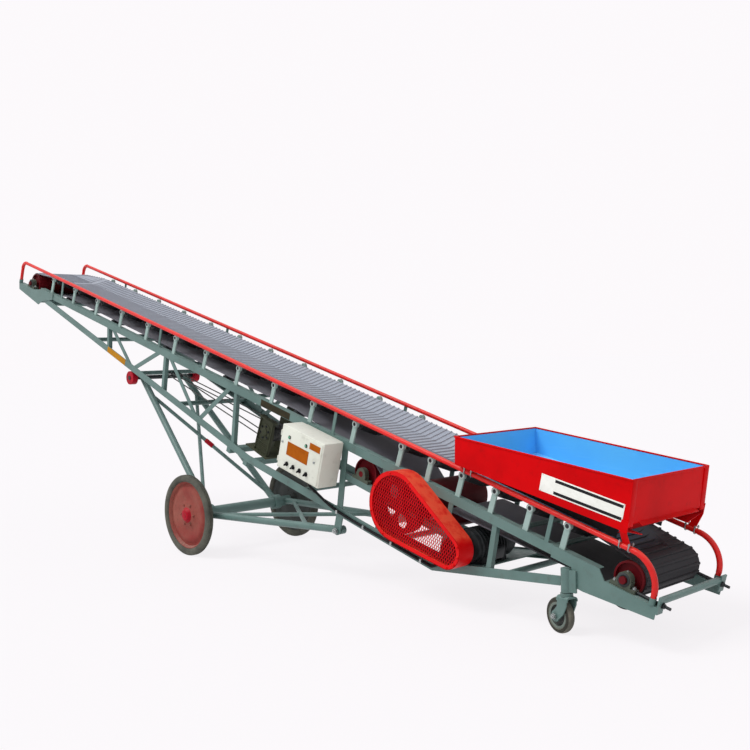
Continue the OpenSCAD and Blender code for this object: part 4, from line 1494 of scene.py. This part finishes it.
@dataclass
class Bearings:
    """Bolts, seals and grease nipples of the pillow blocks, and lock nuts of the belt screws."""

    ends: Outline = ((-516.0, -7.0), (7400.0, 0.0))
    ledge: Flat = (-54.0, -57.0)
    face_y: float = 370.0
    middle_y: float = 347.0
    seal: Outline = ((24, 0), (41, 0), (41, 3), (36, 6), (28, 6), (24, 3))
    foot_h: float = 22.0
    bolt_run: float = 67.0
    bolt_d: float = 14.0
    nipple: Outline = ((6, 0), (6, 6), (3, 8), (4, 12), (0, 14))
    nipple_h: float = 45.0
    screw: Point = (7654.0, 342.0, -46.0)
    screw_d: float = 18.0

    def build(self) -> None:
        """Makes the small parts."""
        shape = Shape()
        for ((s, h), ledge), side in product(zip(self.ends, self.ledge), SIDES):
            middle = side * self.middle_y
            face = facing(BOOM.at(s, side * self.face_y, h), Vector((0, side, 0)))
            shape.lathe(self.seal, face, 36)
            for run in (-self.bolt_run, self.bolt_run):
                shape.bolt(BOOM.at(s + run, middle, ledge + self.foot_h), BOOM.up, self.bolt_d, 1)
            top = facing(BOOM.at(s, middle, h + self.nipple_h), BOOM.up)
            shape.lathe(self.nipple, top, 12, 1, False)
        s, y, h = self.screw
        for side in SIDES:
            shape.bolt(BOOM.at(s, side * y, h), BOOM.along, self.screw_d, 0)
        shape.finish("bearing_fittings", "boom", "dark_steel", Coat.DARK, Coat.BRIGHT)


@dataclass
class Winch:
    """Trim of the winch's near cheek, rope on its drum, and ropes to the bar between the lower chords."""

    cheek_t: Flat = (3870.0, 4060.0)
    cheek_n: Flat = (10.0, 320.0)
    cheek_y: float = -150.0
    rib: Flat = (4.0, 16.0)
    rib_out: float = 12.0
    head_out: Flat = (16.0, -30.0)
    head_over: float = 6.0
    head_n: Flat = (-14.0, 4.0)
    slats: int = 5
    slat_n: float = 24.0
    slat_pitch: float = 17.0
    slat_h: float = 8.0
    slat_in: float = 14.0
    slat_out: float = 9.0
    sunk: float = 1.0
    cap: Outline = ((0, 22), (26, 22), (34, 18), (38, 9), (66, 9), (70, 5), (70, -1))
    cap_up: float = 38.0
    cap_bolts: int = 6
    cap_bolt_r: float = 54.0
    cap_bolt_z: float = 9.0
    cap_bolt_d: float = 10.0
    drum: Flat = (3721.4, -376.9)
    drum_r: float = 60.0
    drum_y: Flat = (-124.0, 44.0)
    rope_d: float = 11.0
    rope_y: tuple[float, ...] = (-104.0, -58.0, -12.0, 30.0)
    rope_in: float = 2.0
    anchor: Flat = (1990.0, -332.0)
    anchor_d: float = 40.0
    anchor_half: float = 370.0
    thimble: float = 60.0
    thimble_h: float = 4.0
    thimble_d: Flat = (22.0, 14.0)

    def cheek(self) -> None:
        """Makes the ribs, the bearing cap and the bolts on the near cheek."""
        shape = Shape()
        frame = BOOM.low_chord
        (t0, t1), (n0, n1), y = self.cheek_t, self.cheek_n, self.cheek_y
        back, front = y + self.sunk, y - self.rib_out
        r0, r1 = self.rib
        shape.block((t0 + r0, front, n0), (t0 + r1, back, n1), frame, 3)
        shape.block((t1 - r1, front, n0), (t1 - r0, back, n1), frame, 3)
        (out, inward), (low, high), over = self.head_out, self.head_n, self.head_over
        shape.block((t0 - over, y - out, n1 + low), (t1 + over, y - inward, n1 + high), frame, 3)
        for k in range(self.slats):
            n = n0 + self.slat_n + self.slat_pitch * k
            shape.block((t0 + self.slat_in, y - self.slat_out, n),
                        (t1 - self.slat_in, back, n + self.slat_h), frame, 2)
        middle = Vector(((t0 + t1) / 2, y, (n0 + n1) / 2 + self.cap_up)) * MM
        cap = facing(frame @ middle, NEAR)
        shape.lathe(self.cap, cap, 40, 0, False)
        for x, z in circle(self.cap_bolts, self.cap_bolt_r):
            shape.bolt(cap @ (Vector((x, z, self.cap_bolt_z)) * MM), NEAR, self.cap_bolt_d, 1)
        shape.finish("winch_cheek", "boom", "winch_paint", Coat.WINCH, Coat.DARK)

    def ropes(self) -> None:
        """Makes the rope layer, the ropes and the bar with its thimbles."""
        shape = Shape()
        (s, h), (y0, y1) = self.drum, self.drum_y
        r, d = self.drum_r, self.rope_d
        turns = int((y1 - y0) / d)
        bumps = [(r + d * (0.1 + 0.9 * math.sin(math.pi * k / 4)), d * (i + k / 4))
                 for i, k in product(range(turns), range(4))]
        layer = [(r - self.rope_in, 0), *bumps, (r - self.rope_in, d * turns)]
        shape.lathe(layer, facing(BOOM.at(s, y0, h), FAR), 32, 0, False)
        a, b = self.anchor
        edge = a + self.anchor_d / 2
        big, small = self.thimble_d
        for i, y in enumerate(self.rope_y):
            over = 1 if i % 2 else -1
            end = BOOM.at(edge + self.thimble, y, b + over * self.thimble_h)
            shape.rod(BOOM.at(s, y, h + over * (r + d / 2)), end, d, 0, 10)
            shape.rod(BOOM.at(edge - self.rope_in, y, b), end, big, 1, 14, 3, small)
        near, far = (BOOM.at(a, side * self.anchor_half, b) for side in SIDES)
        shape.rod(near, far, self.anchor_d, 2, 24)
        shape.finish("winch_ropes", "boom", "dark_steel", Coat.ROPE, Coat.DARK, Coat.FRAME)

    def build(self) -> None:
        """Makes the trim and the ropes."""
        self.cheek()
        self.ropes()


@dataclass
class Motor:
    """Terminal box and fan cowl of the drive motor; box and lid are corners counted from its axis."""

    centre: Flat = (6197.1, -322.7)
    radius: float = 110.0
    far_y: float = 30.0
    box: Box = ((96.0, -210.0, -48.0), (158.0, -96.0, 42.0))
    lid: Box = ((156.0, -204.0, -42.0), (166.0, -102.0, 36.0))
    cowl: Outline = ((2, -30), (4, 30), (-8, 62), (-34, 66), (-34, 60), (-12, 56), (-4, 28), (-4, -30))
    hoops: int = 4
    hoop_in: float = 42.0
    hoop_pitch: float = 22.0
    hoop: Outline = ((0, 60), (10, 60), (10, 64), (0, 64))
    bar_in: float = 30.0
    bar_half: float = 4.0
    bar_z: Flat = (58.0, 63.0)

    def build(self) -> None:
        """Makes the parts."""
        shape = Shape()
        s, h = self.centre
        for corners, bevel, segments in ((self.box, 6, 3), (self.lid, 3, 2)):
            low, high = ((s + x, y, h + z) for x, y, z in corners)
            shape.block(low, high, BOOM.matrix, bevel, 0, segments)
        frame = facing(BOOM.at(s, self.far_y, h), FAR)
        shape.lathe(shifted(self.cowl, self.radius, 0), frame, 40)
        for k in range(self.hoops):
            shape.lathe(shifted(self.hoop, self.radius - self.hoop_in - self.hoop_pitch * k, 0), frame, 36)
        reach, half, (z0, z1) = self.radius - self.bar_in, self.bar_half, self.bar_z
        for k in range(2):
            across = frame @ Matrix.Rotation(math.pi / 2 * k, 4, "Z")
            shape.block((-reach, -half, z0), (reach, half, z1), across, 1)
        shape.finish("motor_fittings", "boom", "dark_steel", Coat.DARK)


@dataclass
class Markings:
    """Plain tapes on the near side of the truss, bare of lettering."""

    face_y: float = -376.0
    tape_t: float = 0.8
    tape_s: Flat = (3885.0, 4272.0)
    tape_h: Flat = (-60.0, -5.0)
    band_t: Flat = (1585.0, 1950.0)
    band_n: Flat = (3.0, 60.0)

    def build(self) -> None:
        """Makes the tapes."""
        shape = Shape()
        back, front = self.face_y, self.face_y - self.tape_t
        (s0, s1), (h0, h1) = self.tape_s, self.tape_h
        (t0, t1), (n0, n1) = self.band_t, self.band_n
        shape.block((s0, front, h0), (s1, back, h1), BOOM.matrix)
        shape.block((t0, front, n0), (t1, back, n1), BOOM.low_chord, 0, 1)
        shape.finish("plain_tapes", "boom", "frame_paint", Coat.TAPE, Coat.CAUTION)


@dataclass
class Carriage:
    """Red sleeve on a leg brace, and pin nuts of the stay."""

    axle: Flat = AXLE
    trolley: Flat = (-1671.0, 1519.0)
    foot_y: float = 371.0
    top_y: float = 238.0
    ends: Flat = (0.06, 0.86)
    sleeve: Flat = (0.47, 0.53)
    sleeve_d: float = 44.0
    pivot: Flat = (1322.022, 383.76)
    pin_y: float = 388.0
    pin_d: float = 22.0

    def leg_point(self, share: float, side: float) -> Vector:
        """Point on a leg tube.

        Args:
            share: 0 at the axle and 1 at the trolley.
            side: -1 on the near leg and 1 on the far one.

        Returns:
            The point in metres.
        """
        (x0, z0), (x1, z1) = self.axle, self.trolley
        y = self.foot_y + (self.top_y - self.foot_y) * share
        return Vector((x0 + (x1 - x0) * share, side * y, z0 + (z1 - z0) * share)) * MM

    def build(self) -> None:
        """Makes the parts on the legs and on the stay."""
        shape = Shape()
        low, top = self.leg_point(self.ends[0], 1), self.leg_point(self.ends[1], -1)
        a, b = (top.lerp(low, k) for k in self.sleeve)
        shape.rod(a, b, self.sleeve_d, 0, 24, 3)
        shape.finish("brace_sleeve", "legs", "roller_paint", Coat.HUB)
        pins = Shape()
        x, z = self.pivot
        for side in SIDES:
            pins.bolt(Vector((x, side * self.pin_y, z)) * MM, Vector((0, side, 0)), self.pin_d, 0)
        pins.finish("stay_pin_nuts", "stay", "bright_steel", Coat.BRIGHT)


@dataclass
class BeltRibs:
    """Cross ribs of the belt where it flattens out of the trough and wraps the end pulleys."""

    head: Point = (-516.0, -7.0, 108.0)
    tail: Point = (7400.0, 0.0, 101.0)
    belt_t: float = 9.3
    half: float = 298.0
    rib: Flat = (16.0, 8.0)
    rib_bevel: float = 3.0
    sunk: float = 1.0
    lap: float = 2.0
    pitch: float = 53.0
    wrap_start: float = 0.4
    flats: Outline = ((7008.0, 7400.0), (-53.0, -516.0))
    carry_h: float = 101.0
    middle: float = 115.0
    wing: float = 185.0
    trough: float = 18.0

    def flatten(self, shape: Shape, start: float, end: float) -> None:
        """Adds the ribs of a run that flattens out.

        Args:
            shape: the piece in the making.
            start: where the trough ends.
            end: where the belt lies flat.
        """
        wide, high = self.rib
        low, top = self.belt_t - self.sunk, self.belt_t + high
        count = int(abs(end - start) / self.pitch)
        for i in range(count):
            share = (i + 0.5) / count
            s = start + (end - start) * share
            turn = math.radians(self.trough) * (1 - share)
            shape.block((s - wide / 2, -self.middle, self.carry_h + low),
                        (s + wide / 2, self.middle, self.carry_h + top), BOOM.matrix, self.rib_bevel)
            for side in SIDES:
                fold = Vector((s, side * self.middle, self.carry_h)) * MM
                frame = BOOM.matrix @ Matrix.Translation(fold) @ Matrix.Rotation(side * turn, 4, "X")
                y0, y1 = sorted((-self.lap * side, side * (self.wing - self.lap)))
                shape.block((-wide / 2, y0, low), (wide / 2, y1, top), frame, self.rib_bevel)

    def wrap(self, shape: Shape, end: Point, first: float) -> None:
        """Adds the ribs round an end pulley.

        Args:
            shape: the piece in the making.
            end: place of the pulley and its radius.
            first: angle in degrees where the wrap begins.
        """
        s, h, r = end
        wide, high = self.rib
        skin = r + self.belt_t
        step = math.degrees(self.pitch / skin)
        for i in range(1, int(180 / step) + 1):
            angle = math.radians(first - step * (i - self.wrap_start))
            axle = Matrix.Translation((s * MM, 0, h * MM))
            frame = BOOM.matrix @ axle @ Matrix.Rotation(-angle, 4, "Y")
            shape.block((skin - self.sunk, -self.half, -wide / 2),
                        (skin + high, self.half, wide / 2), frame, self.rib_bevel)

    def build(self) -> None:
        """Makes the ribs round both ends and on the runs that flatten out to them."""
        shape = Shape()
        for start, end in self.flats:
            self.flatten(shape, start, end)
        self.wrap(shape, self.tail, 90.0)
        self.wrap(shape, self.head, 270.0)
        shape.finish("belt_end_ribs", "boom", "belt_rubber", Coat.BELT)


@dataclass(frozen=True)
class Lamp:
    """A distant lamp: where its light goes, its power and its spread in degrees."""

    name: str
    toward: Point
    power: float
    spread: float

    def build(self) -> None:
        """Hangs the lamp."""
        data = bpy.data.lights.new(self.name, "SUN")
        data.energy = self.power
        data.angle = math.radians(self.spread)
        lamp = bpy.data.objects.new(self.name, data)
        lamp.rotation_mode = "QUATERNION"
        lamp.rotation_quaternion = Vector(self.toward).to_track_quat("-Z", "Y")
        bpy.context.scene.collection.objects.link(lamp)


@dataclass
class Studio:
    """Camera at the photograph's place, plain soft light and a pale floor."""

    place: Point = (6.9275, -5.2806, 1.7380)
    yaw: float = 46.4091
    pitch: float = 1.4265
    roll: float = -1.1508
    focal: float = 990.461
    image: float = 750.0
    sensor: float = 36.0
    clip: Flat = (0.05, 500.0)
    paper: Colour = (0.975, 0.95, 0.97, 1.0)
    sky: Colour = (0.95, 0.97, 1.0, 1.0)
    sky_power: float = 0.62
    key: Lamp = Lamp("key", (0.30, 0.66, -0.92), 1.85, 28.0)
    tail_fill: Lamp = Lamp("tail_fill", (-0.9, 0.25, -0.5), 0.22, 50.0)
    floor_colour: Colour = (0.885, 0.865, 0.88, 1.0)
    floor_half: float = 140.0
    floor_share: float = 0.86

    def camera(self) -> None:
        """Sets the camera from the solved view."""
        yaw, pitch, roll = (math.radians(v) for v in (self.yaw, self.pitch, self.roll))
        right = Vector((math.cos(yaw), math.sin(yaw), 0))
        level = math.cos(pitch)
        ahead = Vector((-math.sin(yaw) * level, math.cos(yaw) * level, -math.sin(pitch)))
        above = right.cross(ahead)
        x = right * math.cos(roll) + above * math.sin(roll)
        y = above * math.cos(roll) - right * math.sin(roll)
        data = bpy.data.cameras.new("camera")
        data.sensor_width = self.sensor
        data.lens = self.sensor * self.focal / self.image
        data.clip_start, data.clip_end = self.clip
        eye = bpy.data.objects.new("camera", data)
        bpy.context.scene.collection.objects.link(eye)
        eye.matrix_world = Matrix.Translation(self.place) @ Matrix((x, y, -ahead)).transposed().to_4x4()
        bpy.context.scene.camera = eye

    def world(self) -> None:
        """White behind the machine, softer light on it."""
        world = bpy.data.worlds.new("studio")
        bpy.context.scene.world = world
        world.use_nodes = True
        shader = Shader(world)
        fill = shader.node("ShaderNodeBackground", None, {"Color": self.sky, "Strength": self.sky_power})
        back = shader.node("ShaderNodeBackground", None, {"Color": self.paper, "Strength": 1.0})
        shader.node_output(shader.node("ShaderNodeMixShader", None, {0: shader.seen(), 1: fill, 2: back}))

    def floor(self) -> None:
        """Pale floor that keeps a soft shadow."""
        bm = bmesh.new()
        bmesh.ops.create_grid(bm, x_segments=1, y_segments=1, size=self.floor_half)
        mesh = bpy.data.meshes.new("floor")
        bm.to_mesh(mesh)
        bm.free()
        shader = Shader.named("studio_floor")
        glow = shader.node("ShaderNodeEmission", None, {"Color": self.paper, "Strength": 1.0})
        plain = shader.node("ShaderNodeBsdfDiffuse", None, {"Color": self.floor_colour, "Roughness": 0.0})
        share = shader.seen() * self.floor_share
        shader.node_output(shader.node("ShaderNodeMixShader", None, {0: share, 1: plain, 2: glow}))
        mesh.materials.append(shader.owner)
        floor = bpy.data.objects.new("floor", mesh)
        bpy.context.scene.collection.objects.link(floor)

    def build(self) -> None:
        """Sets the stage, with a broad key from the near side and above and a weak lamp from the tail."""
        bpy.context.scene.view_settings.view_transform = "Standard"
        self.camera()
        self.world()
        self.key.build()
        self.tail_fill.build()
        self.floor()


def main() -> None:
    """Builds the stage, dresses the frame and adds the fittings."""
    logging.basicConfig(level=logging.INFO, format="%(name)s %(message)s")
    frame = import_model()
    Studio().build()
    dress_frame(frame["nodes"])
    joints = {joint["name"]: joint for joint in frame["joints"]}
    parts: list[Any] = [BeltGuard(), ControlBox(), HopperTrim(), RoadWheel("wheel_near", -1),
                        RoadWheel("wheel_far", 1), Idlers(), Bearings(), Winch(), Motor(), Markings(),
                        Carriage(), BeltRibs()]
    for side in ("near", "far"):
        spin = joints[f"caster_{side}_spin"]
        parts.append(Caster(f"caster_{side}", Vector(spin["pos_m"]), Vector(spin["axis"])))
    for part in parts:
        part.build()


if __name__ == "__main__":
    main()
